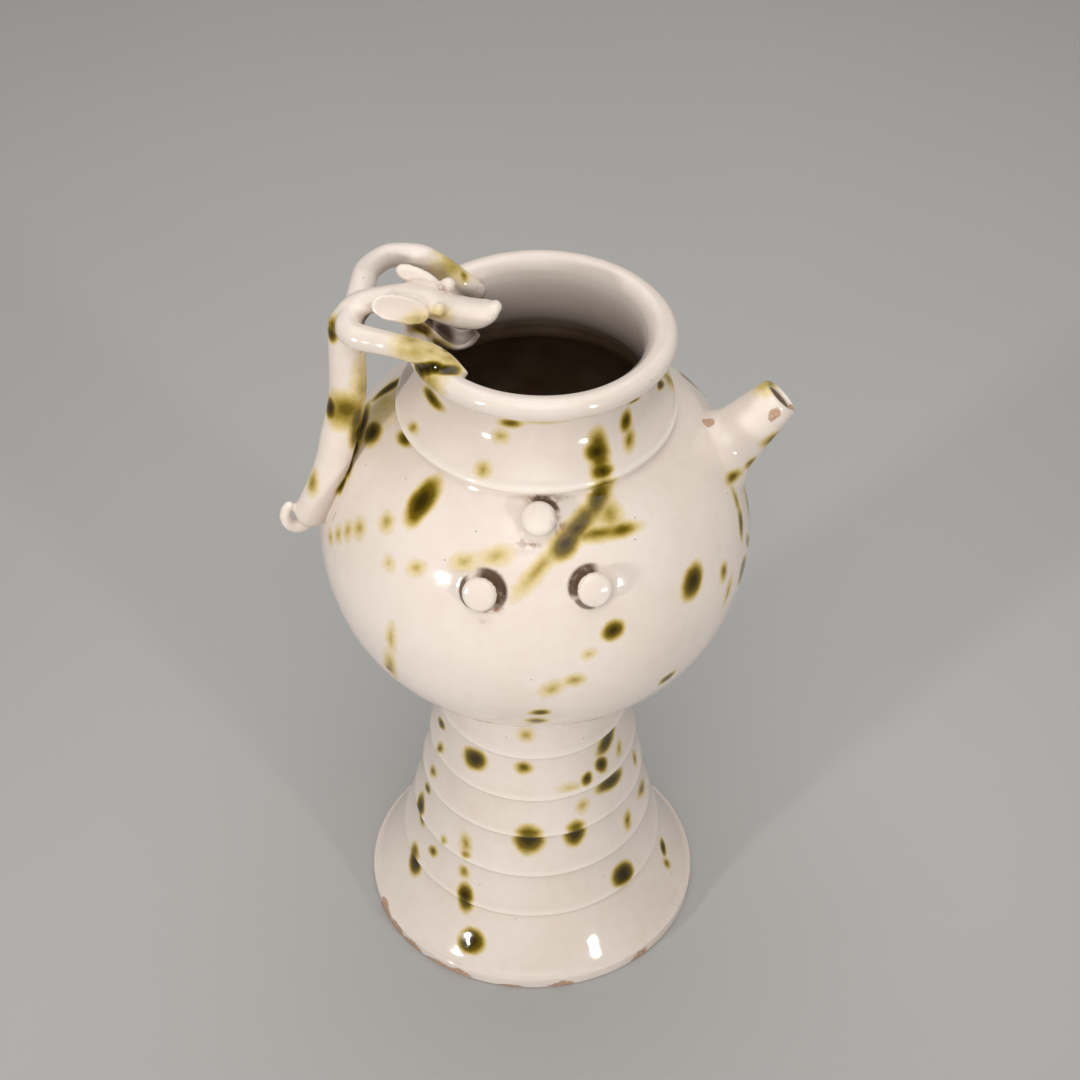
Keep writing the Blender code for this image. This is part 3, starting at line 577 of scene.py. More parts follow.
class JarColours(bpy.types.PropertyGroup):
    """Colours of the glaze, its splashes and the clay."""
    glaze: bpy.props.FloatVectorProperty(
        name="Glaze", description="Clear glaze over white clay", default=(0.8, 0.705, 0.64, 1.0),
        subtype="COLOR", size=4, min=0.0, max=1.0)
    thick_glaze: bpy.props.FloatVectorProperty(
        name="Thick glaze", description="Glaze where it gathers", default=(0.71, 0.605, 0.515, 1.0),
        subtype="COLOR", size=4, min=0.0, max=1.0)
    thin_glaze: bpy.props.FloatVectorProperty(
        name="Thin glaze", description="Glaze drawn thin over an edge", default=(0.88, 0.8, 0.71, 1.0),
        subtype="COLOR", size=4, min=0.0, max=1.0)
    core: bpy.props.FloatVectorProperty(
        name="Splash core", description="Tint of the thickest green glaze, near black",
        default=(0.028, 0.02, 0.001, 1.0), subtype="COLOR", size=4, min=0.0, max=1.0)
    dark_olive: bpy.props.FloatVectorProperty(
        name="Dark olive", description="Tint inside a splash", default=(0.062, 0.044, 0.001, 1.0),
        subtype="COLOR", size=4, min=0.0, max=1.0)
    deep_olive: bpy.props.FloatVectorProperty(
        name="Deep olive", description="Tint inside a splash's edge", default=(0.195, 0.15, 0.01, 1.0),
        subtype="COLOR", size=4, min=0.0, max=1.0)
    olive: bpy.props.FloatVectorProperty(
        name="Olive", description="Tint at a splash's edge", default=(0.42, 0.34, 0.06, 1.0),
        subtype="COLOR", size=4, min=0.0, max=1.0)
    ochre: bpy.props.FloatVectorProperty(
        name="Ochre", description="Tint of a splash's thinned edge", default=(0.68, 0.585, 0.235, 1.0),
        subtype="COLOR", size=4, min=0.0, max=1.0)
    halo: bpy.props.FloatVectorProperty(
        name="Halo", description="Tint of the yellow bleed round a splash",
        default=(0.9, 0.835, 0.53, 1.0), subtype="COLOR", size=4, min=0.0, max=1.0)
    clay: bpy.props.FloatVectorProperty(
        name="Bare clay", description="Fired clay without glaze", default=(0.44, 0.25, 0.16, 1.0),
        subtype="COLOR", size=4, min=0.0, max=1.0)
    # Thin wash over clay inside the body, dark brown as painted shade of the cavity
    inside: bpy.props.FloatVectorProperty(
        name="Inside", description="Thinly washed clay inside the body",
        default=(0.15, 0.09, 0.048, 1.0), subtype="COLOR", size=4, min=0.0, max=1.0)
    smear: bpy.props.FloatVectorProperty(
        name="Smear", description="Thin reddish brown dirt", default=(0.3, 0.155, 0.1, 1.0),
        subtype="COLOR", size=4, min=0.0, max=1.0)
    # Brown of the stain with painted shade in the dragon's mouth and under its neck
    stain: bpy.props.FloatVectorProperty(
        name="Stain", description="Brown stain in the dragon's hollows",
        default=(0.085, 0.04, 0.018, 1.0), subtype="COLOR", size=4, min=0.0, max=1.0)
    # Dark brown of iron specks and crackle lines, and of the painted shadow and dirt round the studs
    dirt_and_shadow: bpy.props.FloatVectorProperty(
        name="Dirt", description="Brown dirt in the crevices", default=(0.09, 0.045, 0.022, 1.0),
        subtype="COLOR", size=4, min=0.0, max=1.0)


class JarStudio(bpy.types.PropertyGroup):
    """Floor and lamps around the jar."""
    floor: bpy.props.FloatVectorProperty(
        name="Floor", description="Plain pale floor", default=(0.47, 0.465, 0.455, 1.0),
        subtype="COLOR", size=4, min=0.0, max=1.0)
    floor_size: bpy.props.FloatProperty(
        name="Floor size", description="Side of the square floor", default=6.0, unit="LENGTH")
    top_power: bpy.props.FloatProperty(
        name="Top lamp", description="Power of the lamp straight above", default=4.9, min=0.0,
        unit="POWER")
    back_power: bpy.props.FloatProperty(
        name="Back lamp", description="Power of the lamp above and behind", default=4.7, min=0.0,
        unit="POWER")
    front_power: bpy.props.FloatProperty(
        name="Front lamp", description="Power of the broad lamp above the camera", default=2.35,
        min=0.0, unit="POWER")
    left_power: bpy.props.FloatProperty(
        name="Left lamp", description="Power of the low lamp at the handle's side", default=0.44,
        min=0.0, unit="POWER")
    right_power: bpy.props.FloatProperty(
        name="Right lamp", description="Power of the low lamp at the spout's side", default=0.31,
        min=0.0, unit="POWER")
    ambient: bpy.props.FloatProperty(
        name="Ambient", description="Strength of the room's even light", default=0.11, min=0.0)


def size(name):
    """A length from the panel, rid of the rounding with which it is stored."""
    return round(getattr(bpy.context.scene.jar_sizes, name), 7)


# Meshes

def mesh_object(name, points, faces):
    """Link a smooth mesh."""
    mesh = bpy.data.meshes.new(name)
    mesh.from_pydata(points, [], faces)
    mesh.validate()
    mesh.shade_smooth()
    item = bpy.data.objects.new(name, mesh)
    bpy.context.scene.collection.objects.link(item)
    return item


def skin(rings):
    """Points and faces of a closed body through rings. A lone point is a pole, and open ends are capped."""
    points, starts, faces = [], [], []
    for ring in rings:
        starts.append(len(points))
        points.extend(tuple(point) for point in ring)
    for k in range(len(rings) - 1):
        lower, upper = rings[k], rings[k + 1]
        count = max(len(lower), len(upper))
        for i in range(count):
            j = (i + 1) % count
            corners = [starts[k] + i % len(lower), starts[k] + j % len(lower),
                       starts[k + 1] + j % len(upper), starts[k + 1] + i % len(upper)]
            faces.append(list(dict.fromkeys(corners)))
    if len(rings[0]) > 1:
        faces.append(list(range(len(rings[0])))[::-1])
    if len(rings[-1]) > 1:
        faces.append([starts[-1] + i for i in range(len(rings[-1]))])
    return points, faces


def joined(bodies):
    """Points and faces of several bodies as one list."""
    points, faces = [], []
    for body_points, body_faces in bodies:
        first = len(points)
        points.extend(body_points)
        faces.extend([first + corner for corner in face] for face in body_faces)
    return points, faces


def point_outwards(item):
    """Turn every face of a closed mesh to the outside."""
    mesh_data = bmesh.new()
    mesh_data.from_mesh(item.data)
    bmesh.ops.recalc_face_normals(mesh_data, faces=mesh_data.faces)
    mesh_data.to_mesh(item.data)
    mesh_data.free()


def apply_modifiers(item):
    """Keep the mesh as its modifiers leave it."""
    graph = bpy.context.evaluated_depsgraph_get()
    mesh = bpy.data.meshes.new_from_object(item.evaluated_get(graph), depsgraph=graph)
    item.modifiers.clear()
    item.data = mesh


def coordinates(mesh):
    """Vertex places as an array."""
    places = np.empty(len(mesh.vertices) * 3, dtype=np.float32)
    mesh.vertices.foreach_get("co", places)
    return places.reshape(-1, 3).astype(float)


def normals(mesh):
    """Vertex normals as an array."""
    out = np.empty(len(mesh.vertices) * 3, dtype=np.float32)
    mesh.vertex_normals.foreach_get("vector", out)
    return out.reshape(-1, 3).astype(float)


def set_coordinates(mesh, places):
    """Put vertices at new places."""
    mesh.vertices.foreach_set("co", places.astype(np.float32).ravel())
    mesh.update()


def edge_ends(mesh):
    """Vertex pairs of every edge."""
    ends = np.empty(len(mesh.edges) * 2, dtype=np.int32)
    mesh.edges.foreach_get("vertices", ends)
    return ends.reshape(-1, 2)


def neighbour_mean(values, ends, counts):
    """Mean of each vertex's neighbours, for an array of rows."""
    mean = np.empty_like(values)
    for axis in range(values.shape[1]):
        total = np.bincount(ends[:, 0], weights=values[ends[:, 1], axis], minlength=len(values))
        total += np.bincount(ends[:, 1], weights=values[ends[:, 0], axis], minlength=len(values))
        mean[:, axis] = total / counts
    return mean


def soften(mesh, weights, rounds, convex_share):
    """Relax the clay: creases fill fully, and bulges wear down by a share."""
    ends = edge_ends(mesh)
    places = coordinates(mesh)
    counts = np.maximum(np.bincount(ends.ravel(), minlength=len(places)), 1)
    for _ in range(rounds):
        outward = normals(mesh)
        move = neighbour_mean(places, ends, counts) - places
        filling = (move * outward).sum(axis=1) > 0.0
        share = np.where(filling, 1.0, convex_share) * weights
        places = places + move * share[:, None]
        set_coordinates(mesh, places)


def smooth_step(share):
    """Ease from 0 to 1 with a level start and end."""
    share = min(max(share, 0.0), 1.0)
    return share * share * (3.0 - 2.0 * share)


def catmull_rom(points, steps):
    """Points of any size on a smooth curve through the given ones."""
    rows = [Vector(point) for point in points]
    rows = [2.0 * rows[0] - rows[1]] + rows + [2.0 * rows[-1] - rows[-2]]
    curve = []
    for a, b, c, d in zip(rows, rows[1:], rows[2:], rows[3:]):
        for step in range(steps):
            t = step / steps
            curve.append(0.5 * (2.0 * b + (c - a) * t + (2.0 * a - 5.0 * b + 4.0 * c - d) * t * t
                                + (3.0 * b - a - 3.0 * c + d) * t ** 3))
    curve.append(rows[-2].copy())
    return curve


# The turned form

def body_radius(height, radius, rise, depth):
    """Half width of the round body, or of its cavity, at a height."""
    above = height > BODY_EQUATOR
    reach = rise if above else depth
    inner_power, outer_power = RISE_POWERS if above else DEPTH_POWERS
    share = min(abs(height - BODY_EQUATOR) / reach, 1.0)
    return radius * (1.0 - share ** inner_power) ** (1.0 / outer_power)


def outer_body_radius(height):
    """Half width of the body's outside."""
    return body_radius(height, size("body_radius"), BODY_RISE, BODY_DEPTH)


def cavity_radius(height):
    """Half width of the body's inside."""
    return body_radius(height, size("body_radius") - size("body_wall"), CAVITY_RISE, CAVITY_DEPTH)


def heights_towards(start, end, count, closer_at_end):
    """Heights from start to end, gathered where the wall turns in."""
    shares = [i / count for i in range(count + 1)]
    if closer_at_end:
        return [start + (end - start) * math.sin(share * math.pi / 2.0) for share in shares]
    return [end + (start - end) * math.sin((1.0 - share) * math.pi / 2.0) for share in shares]


def foot_ridge_radius(height):
    """Half width of the foot's envelope, through the edges of its ridges."""
    return FOOT_BASE_RADIUS - FOOT_TAPER * height + FOOT_SPREAD * math.exp(-height / FOOT_SPREAD_HEIGHT)


def foot_hollow_outline():
    """Underside of the foot, from the middle of its ceiling down to the standing ring."""
    outline = [(radius, FOOT_CEILING - fall) for radius, fall in CEILING_FALL]
    outline.append((WAIST_RADIUS - WAIST_WALL, WAIST_HEIGHT - WAIST_WALL_DROP))
    for height in HOLLOW_HEIGHTS:
        outline.append((foot_ridge_radius(height) - size("foot_wall"), height))
    return [(0.0, FOOT_CEILING)] + [tuple(point) for point in catmull_rom(outline, 4)]


def foot_outside_outline():
    """Outside of the foot from its ground rim up to the waist under the body."""
    rim, ease = FOOT_RIM_RADIUS, FOOT_RIM_EASE
    outline = [(rim - ease - GROUND_WIDTH, 0.0)]
    for corner, first in (((rim - ease, ease), -90), ((rim - ease, FOOT_RIM_HEIGHT - ease), 0)):
        for angle in range(first, first + 91, 18):
            turn = math.radians(angle)
            outline.append((corner[0] + ease * math.cos(turn), corner[1] + ease * math.sin(turn)))
    low_radius, low_height, flare, steps = rim - 1.4 * ease, FOOT_RIM_HEIGHT, SKIRT_FLARE, SKIRT_STEPS
    for ridge_height in RIDGE_HEIGHTS:
        ridge_radius = foot_ridge_radius(ridge_height)
        high_radius = ridge_radius - size("ridge_depth")
        high_height = ridge_height - RIDGE_UNDERCUT
        for step in range(1, steps + 1):
            share = 1.0 - step / steps
            height = high_height + (low_height - high_height) * share
            outline.append((high_radius + (low_radius - high_radius) * share ** flare, height))
        for inward, up in RIDGE_CORNERS:
            outline.append((ridge_radius - inward * RIDGE_EDGE, ridge_height + up * RIDGE_EDGE))
        low_radius, low_height = ridge_radius - RIDGE_EDGE, ridge_height + RIDGE_EDGE
        flare, steps = TIER_FLARE, TIER_STEPS
    for step in range(1, WAIST_STEPS + 1):
        share = 1.0 - step / WAIST_STEPS
        outline.append((WAIST_RADIUS + (low_radius - WAIST_RADIUS) * share ** flare,
                        WAIST_HEIGHT + (low_height - WAIST_HEIGHT) * share))
    cove = outer_body_radius(BODY_FOOT_HEIGHT) - WAIST_RADIUS
    rise = BODY_FOOT_HEIGHT - WAIST_HEIGHT
    turns = [(WAIST_RADIUS + cove * out, WAIST_HEIGHT + rise * up) for out, up in COVE]
    return outline + [tuple(point) for point in catmull_rom(turns, 4)[1:-1]]


def body_outline():
    """Outside of the body from the foot to the shoulder."""
    below = heights_towards(BODY_FOOT_HEIGHT, BODY_EQUATOR, BODY_STEPS[0], False)
    above = heights_towards(BODY_EQUATOR, SHOULDER_HEIGHT - SHOULDER_GAP, BODY_STEPS[1], True)
    return [(outer_body_radius(height), height) for height in below + above[1:]]


def collar_outline():
    """Shoulder line, flange and concave neck up to the lip's underside."""
    outline = [(FLANGE_ROOT + FLANGE_COVE, SHOULDER_HEIGHT), (FLANGE_ROOT, SHOULDER_HEIGHT + FLANGE_COVE),
               (FLANGE_ROOT, FLANGE_UNDERSIDE - FLANGE_UNDERCUT[1]),
               (FLANGE_ROOT + FLANGE_UNDERCUT[0], FLANGE_UNDERSIDE)]
    middle = 0.5 * (FLANGE_UNDERSIDE + FLANGE_HEIGHT)
    half = 0.5 * (FLANGE_HEIGHT - FLANGE_UNDERSIDE)
    for angle in range(-60, 91, 25):
        turn = math.radians(angle)
        outline.append((FLANGE_RADIUS - FLANGE_ROUND * half + FLANGE_ROUND * half * math.cos(turn),
                        middle + half * math.sin(turn)))
    for step in range(1, COLLAR_STEPS + 1):
        share = step / COLLAR_STEPS
        height = COLLAR_BASE + (COLLAR_TOP - COLLAR_BASE) * share
        outline.append((COLLAR_RADIUS + COLLAR_FLARE * (1.0 - share) ** COLLAR_POWER, height))
    return outline


def lip_outline():
    """Rolled lip from its underside over the crest to the inside."""
    roll = size("lip_roll")
    turns = [math.radians(angle) for angle in LIP_ANGLES]
    return [(LIP_RADIUS + roll * math.cos(turn), LIP_HEIGHT + roll * math.sin(turn)) for turn in turns]


def throat_outline():
    """Inside of the neck: narrowest at the throat, wider down to the ledge in the shoulder."""
    points = [(THROAT_RADIUS + out, height) for out, height in THROAT_TOP] + [(THROAT_RADIUS, THROAT_HEIGHT)]
    for share in THROAT_SHARES:
        points.append((THROAT_RADIUS + (THROAT_FOOT_RADIUS - THROAT_RADIUS) * share ** 2,
                       THROAT_HEIGHT + (THROAT_FOOT_HEIGHT - THROAT_HEIGHT) * share))
    points.append((LEDGE_RADIUS, LEDGE_HEIGHT + LEDGE_DROP))
    return [tuple(point) for point in catmull_rom(points, 3)]


def cavity_outline():
    """Inside of the body from the ledge down to the middle of its floor."""
    above = heights_towards(LEDGE_HEIGHT, BODY_EQUATOR, CAVITY_STEPS[0], False)
    floor = BODY_EQUATOR - CAVITY_DEPTH * CAVITY_FLOOR_SHARE
    below = heights_towards(BODY_EQUATOR, floor, CAVITY_STEPS[1], True)
    outline = [(cavity_radius(height), height) for height in above + below[1:]]
    return outline + [(0.0, BODY_EQUATOR - CAVITY_DEPTH)]


def settle(x, y, z):
    """The clay's small warps: the neck leans, its front higher, and the foot's rim is a little oval."""
    lean = smooth_step((z - LEDGE_HEIGHT) / (LIP_HEIGHT - LEDGE_HEIGHT))
    warp = 1.0 - smooth_step(z / RIM_SETTLE_HEIGHT)
    return (x + MOUTH_SHIFT * lean + RIM_SETTLE_SHIFT[0] * warp,
            y * (1.0 - RIM_SETTLE_SQUEEZE * warp) + RIM_SETTLE_SHIFT[1] * warp,
            z - y * math.tan(MOUTH_TILT) * lean)


def wall_wobble(turn, height):
    """Soft unevenness of the thrown wall, from -1 to 1, level at the standing ring."""
    waves = sum(share * math.sin(count * turn + twist * height + start)
                for share, count, twist, start in WALL_WAVES)
    return smooth_step(height / WALL_WAVE_START) * waves


def glaze_bead(turn, height):
    """Rise of the thick drop of glaze on the skirt."""
    azimuth, middle, radius, rise = BEAD
    along = (math.degrees(turn) - azimuth + 180.0) % 360.0 - 180.0
    across = math.radians(along) * foot_ridge_radius(middle)
    reach = math.hypot(across, (height - middle) * 1.25) / radius
    return rise * (1.0 - smooth_step(reach)) if reach < 1.0 else 0.0


def turned_form(sizes):
    """Revolve the jar's whole section, outside and inside in one line that starts and ends on the axis."""
    outside = foot_outside_outline() + body_outline() + collar_outline() + lip_outline()
    hollow = foot_hollow_outline()
    outline = hollow + outside + throat_outline() + cavity_outline()
    first_outside, last_outside = len(hollow), len(hollow) + len(outside)
    turns = [2.0 * math.pi * i / sizes.turned_sides for i in range(sizes.turned_sides)]
    rings = []
    for k, (radius, height) in enumerate(outline):
        if radius == 0.0:
            rings.append([(0.0, 0.0, height)])
            continue
        ring = []
        for turn in turns:
            swell = 0.0
            if first_outside <= k < last_outside:
                swell = sizes.wobble * wall_wobble(turn, height) + glaze_bead(turn, height)
            wide = radius + swell
            ring.append(settle(wide * math.cos(turn), wide * math.sin(turn), height))
        rings.append(ring)
    return skin(rings)


# What is luted on

def direction(azimuth, elevation):
    """Unit vector at an azimuth from +X and an elevation."""
    return Vector((math.cos(elevation) * math.cos(azimuth), math.cos(elevation) * math.sin(azimuth),
                   math.sin(elevation)))


def ring_around(middle, side, up, half_width, half_height, sides, cup=0.0, dish=0.0):
    """Ellipse of points around a middle. Cup bends its edges up, and dish sinks its upper face."""
    points = []
    for i in range(sides):
        turn = 2.0 * math.pi * i / sides
        across, rise = math.cos(turn), math.sin(turn)
        if rise > 0.0:
            rise *= 1.0 - dish * smooth_step((DISH_RIM - abs(across)) / DISH_EASE)
        points.append(middle + side * half_width * across + up * (half_height * rise + cup * across * across))
    return points


def body_gap(point):
    """How far a point stands outside the middle of the body's wall."""
    return math.hypot(point.x, point.y) - (outer_body_radius(point.z) - 0.5 * size("body_wall"))


def spout_root(start, along):
    """Distance down a line from the spout's mouth at which it is in the middle of the body's wall."""
    near, far = 0.0, 2.0 * SPOUT_LENGTH
    for _ in range(40):
        middle = 0.5 * (near + far)
        if body_gap(start - along * middle) > 0.0:
            near = middle
        else:
            far = middle
    return near


def spout_frame():
    """The spout's mouth, its axis and two directions across it."""
    along = direction(SPOUT_AZIMUTH, SPOUT_ELEVATION)
    side = Vector((0.0, 0.0, 1.0)).cross(along).normalized()
    return Vector(SPOUT_MOUTH), along, side, along.cross(side)


def spout_tube():
    """Tapered tube with an eased mouth; its root follows the round of the body and spreads in a fillet."""
    mouth, along, side, up = spout_frame()
    mouth_radius = size("spout_mouth_radius")
    columns = []
    for i in range(SPOUT_SIDES):
        turn = 2.0 * math.pi * i / SPOUT_SIDES
        out = side * math.cos(turn) + up * math.sin(turn)
        reach = spout_root(mouth + out * SPOUT_ROOT_RADIUS, along)
        column = [mouth + out * (mouth_radius - SPOUT_FACE[0]) - along * SPOUT_FACE[1]]
        for angle in SPOUT_EASE_ANGLES:
            ease = math.radians(angle)
            column.append(mouth + out * (mouth_radius - SPOUT_EASE * (1.0 - math.sin(ease)))
                          - along * SPOUT_EASE * (1.0 - math.cos(ease)))
        for step in range(1, SPOUT_STEPS + 1):
            share = step / SPOUT_STEPS
            down = SPOUT_EASE + (reach - SPOUT_EASE) * share
            radius = mouth_radius + (SPOUT_ROOT_RADIUS - mouth_radius) * down / SPOUT_LENGTH
            rooted = smooth_step((share - SPOUT_FILLET_SHARE) / (1.0 - SPOUT_FILLET_SHARE))
            column.append(mouth + out * (radius + SPOUT_FILLET * rooted ** 2) - along * down)
        columns.append(column)
    return skin([[column[level] for column in columns] for level in range(len(columns[0]))])


def spout_bore():
    """Tapered hole from beyond the spout's mouth to inside the body, flared at the mouth."""
    mouth, along, side, up = spout_frame()
    levels = [(down, size("spout_bore_radius") + wider) for down, wider in BORE_FLARE]
    levels.append((SPOUT_BORE_LENGTH, SPOUT_BORE_ROOT_RADIUS))
    return skin([ring_around(mouth - along * down, side, up, radius, radius, SPOUT_SIDES)
                 for down, radius in levels])


def stud_frame(azimuth_degrees, height):
    """The middle of a stud's base, the way it stands out and two directions across it."""
    azimuth = math.radians(azimuth_degrees)
    radius = outer_body_radius(height)
    step = 0.0005
    slope = (outer_body_radius(height + step) - outer_body_radius(height - step)) / (2.0 * step)
    out = direction(azimuth, math.atan(-slope))
    side = Vector((0.0, 0.0, 1.0)).cross(out).normalized()
    seat = Vector((radius * math.cos(azimuth), radius * math.sin(azimuth), height))
    return seat, out, side, out.cross(side)


def stud(azimuth_degrees, height):
    """Disc with an eased edge and a slightly domed face, standing square to the body's surface."""
    seat, out, side, up = stud_frame(azimuth_degrees, height)
    top = size("stud_height")
    levels = [(rise, STUD_ROOT_RADIUS + wider) for rise, wider in STUD_ROOT]
    levels += [(rise, STUD_TOP_RADIUS + wider) for rise, wider in STUD_SIDE]
    edge = top - STUD_EASE - STUD_DOME
    for angle in range(0, 91, 15):
        turn = math.radians(angle)
        levels.append((edge + STUD_EASE * math.sin(turn),
                       STUD_TOP_RADIUS - STUD_EASE * (1.0 - math.cos(turn))))
    levels += [(top - low * STUD_DOME, STUD_TOP_RADIUS * share) for low, share in STUD_FACE]
    rings = [ring_around(seat + out * rise, side, up, half, half, STUD_SIDES) for rise, half in levels]
    return skin(rings + [[seat + out * top]])


def clay_coil(path, steps, sides):
    """Round clay coil along a smooth path, its ends rounded."""
    rows = catmull_rom(path, steps)
    middles = [Vector(row[:3]) for row in rows]
    widths = [row[3] for row in rows]
    last = len(middles) - 1
    tangents = [(middles[min(i + 1, last)] - middles[max(i - 1, 0)]).normalized() for i in range(last + 1)]
    side = tangents[0].orthogonal().normalized()
    rings = [[middles[0] - tangents[0] * widths[0]]]
    for i, (middle, along, width) in enumerate(zip(middles, tangents, widths)):
        side = (side - along * side.dot(along)).normalized()
        up = along.cross(side)
        if i == 0:
            for share in reversed(COIL_END):
                half = width * math.sqrt(1.0 - share * share)
                rings.append(ring_around(middle - along * width * share, side, up, half, half, sides))
        rings.append(ring_around(middle, side, up, width, width, sides))
    for share in COIL_END:
        half = width * math.sqrt(1.0 - share * share)
        rings.append(ring_around(middles[-1] + along * width * share, side, up, half, half, sides))
    rings.append([middles[-1] + along * width])
    return skin(rings)


def modelled_form(stations, steps, sides, cup=0.0, dish=0.0):
    """Form with oval sections that stay upright, such as the head and the lower jaw, its ends rounded."""
    rows = catmull_rom(stations, steps)
    middles = [Vector(row[:3]) for row in rows]
    last = len(rows) - 1
    rings = []
    for i, row in enumerate(rows):
        along = (middles[min(i + 1, last)] - middles[max(i - 1, 0)]).normalized()
        side = Vector((0.0, 0.0, 1.0)).cross(along).normalized()
        up = along.cross(side)
        rings.append(ring_around(middles[i], side, up, row[3], row[4], sides, cup, dish))
    tip = rows[-1]
    for share in FORM_END:
        shrink = math.sqrt(1.0 - share * share)
        rings.append(ring_around(middles[-1] + along * tip[4] * share, side, up, tip[3] * shrink,
                                 tip[4] * shrink, sides, cup * shrink, dish))
    return skin(rings)


def ear(root, tip, across, half_width, half_thickness, cup, dish):
    """Leaf-shaped ear, dished within a thin rim."""
    root, tip = Vector(root), Vector(tip)
    along = (tip - root).normalized()
    side = Vector(across)
    side = (side - along * side.dot(along)).normalized()
    up = along.cross(side)
    rings = [[root]]
    for i in range(1, EAR_STATIONS):
        share = 0.5 - 0.5 * math.cos(math.pi * i / EAR_STATIONS)
        swell = math.sqrt(1.0 - abs(2.0 * share - 1.0) ** EAR_FULLNESS)
        thick = half_thickness * min(1.0, 2.0 * swell)
        deep = dish * smooth_step((swell - 0.45) / 0.3)
        rings.append(ring_around(root + (tip - root) * share, side, up, half_width * swell, thick,
                                 COIL_SIDES, cup * swell, deep))
    rings.append([tip])
    return skin(rings)


def pellet(middle, radius):
    """Round pellet of clay."""
    middle = Vector(middle)
    across, back = Vector((1.0, 0.0, 0.0)), Vector((0.0, 1.0, 0.0))
    rings = [[middle - Vector((0.0, 0.0, radius))]]
    for angle in range(-75, 76, 15):
        turn = math.radians(angle)
        half = radius * math.cos(turn)
        level = middle + Vector((0.0, 0.0, radius * math.sin(turn)))
        rings.append(ring_around(level, across, back, half, half, PELLET_SIDES))
    rings.append([middle + Vector((0.0, 0.0, radius))])
    return skin(rings)


def dragon_pieces():
    """Every piece of clay that the handle is modelled from."""
    return [
        clay_coil(COIL_PATH, PATH_STEPS, COIL_SIDES),
        clay_coil(TAIL_PATH, PATH_STEPS, COIL_SIDES),
        clay_coil(FRONT_LEG_PATH, PATH_STEPS, COIL_SIDES),
        clay_coil(BACK_LEG_PATH, PATH_STEPS, COIL_SIDES),
        modelled_form(HEAD_STATIONS, PATH_STEPS, COIL_SIDES),
        modelled_form(JAW_STATIONS, PATH_STEPS, COIL_SIDES, JAW_CUP, JAW_DISH),
        ear(*NEAR_EAR),
        ear(*FAR_EAR),
        pellet(NEAR_EYE, NEAR_EYE_RADIUS),
        pellet(FAR_EYE, FAR_EYE_RADIUS),
    ]


# Joining the clay

def tag_faces(item, index):
    """Give every face one material index, which marks whose clay it is."""
    item.data.materials.clear()
    for name in ("thrown_clay", "luted_clay"):
        item.data.materials.append(bpy.data.materials.get(name) or bpy.data.materials.new(name))
    item.data.polygons.foreach_set("material_index", np.full(len(item.data.polygons), index, dtype=np.int32))


def cut_or_join(target, operand, operation):
    """Join or cut a mesh for good, and remove the operand."""
    modifier = target.modifiers.new(operation.lower(), "BOOLEAN")
    modifier.operation = operation
    modifier.solver = "EXACT"
    modifier.object = operand
    apply_modifiers(target)
    bpy.data.objects.remove(operand, do_unlink=True)


def seam_tree(mesh_data):
    """Search tree of the vertices where luted clay meets the thrown form."""
    seam = [vertex.co.copy() for vertex in mesh_data.verts
            if len({face.material_index for face in vertex.link_faces}) > 1]
    if not seam:
        raise RuntimeError("the luted clay does not meet the thrown form")
    tree = KDTree(len(seam))
    for i, place in enumerate(seam):
        tree.insert(place, i)
    tree.balance()
    return tree


def refine_seams(mesh, reach):
    """Give the clay near the seams small even facets, so that it can be softened."""
    mesh_data = bmesh.new()
    mesh_data.from_mesh(mesh)
    tree = seam_tree(mesh_data)

    def near(vertex):
        return tree.find(vertex.co)[2] < reach

    for _ in range(SEAM_PASSES):
        zone = {vertex for vertex in mesh_data.verts if near(vertex)}
        faces = {face for vertex in zone for face in vertex.link_faces}
        bmesh.ops.triangulate(mesh_data, faces=list(faces))
        zone = {vertex for vertex in mesh_data.verts if near(vertex)}
        edges = {edge for vertex in zone for edge in vertex.link_edges}
        long_edges = [edge for edge in edges if edge.calc_length() > LONGEST_FACET]
        if long_edges:
            bmesh.ops.subdivide_edges(mesh_data, edges=long_edges, cuts=1)
    edges = {edge for vertex in mesh_data.verts if near(vertex) for edge in vertex.link_edges}
    bmesh.ops.dissolve_degenerate(mesh_data, dist=SHORTEST_FACET, edges=list(edges))
    zone = {vertex for vertex in mesh_data.verts if near(vertex)}
    faces = {face for vertex in zone for face in vertex.link_faces}
    bmesh.ops.triangulate(mesh_data, faces=list(faces))
    mesh_data.to_mesh(mesh)
    mesh_data.free()
    return tree


def seam_distance(mesh, tree):
    """Distance of each vertex from the nearest seam, up to a limit."""
    return np.array([min(tree.find(vertex.co)[2], SEAM_LIMIT) for vertex in mesh.vertices])


def eased(values, low, high):
    """Smooth step of an array from low to high."""
    share = np.clip((values - low) / (high - low), 0.0, 1.0)
    return share * share * (3.0 - 2.0 * share)


def set_attribute(mesh, name, values):
    """Keep one number for each vertex, for the glaze to read."""
    attribute = mesh.attributes.new(name, "FLOAT", "POINT")
    attribute.data.foreach_set("value", np.asarray(values, dtype=np.float32))


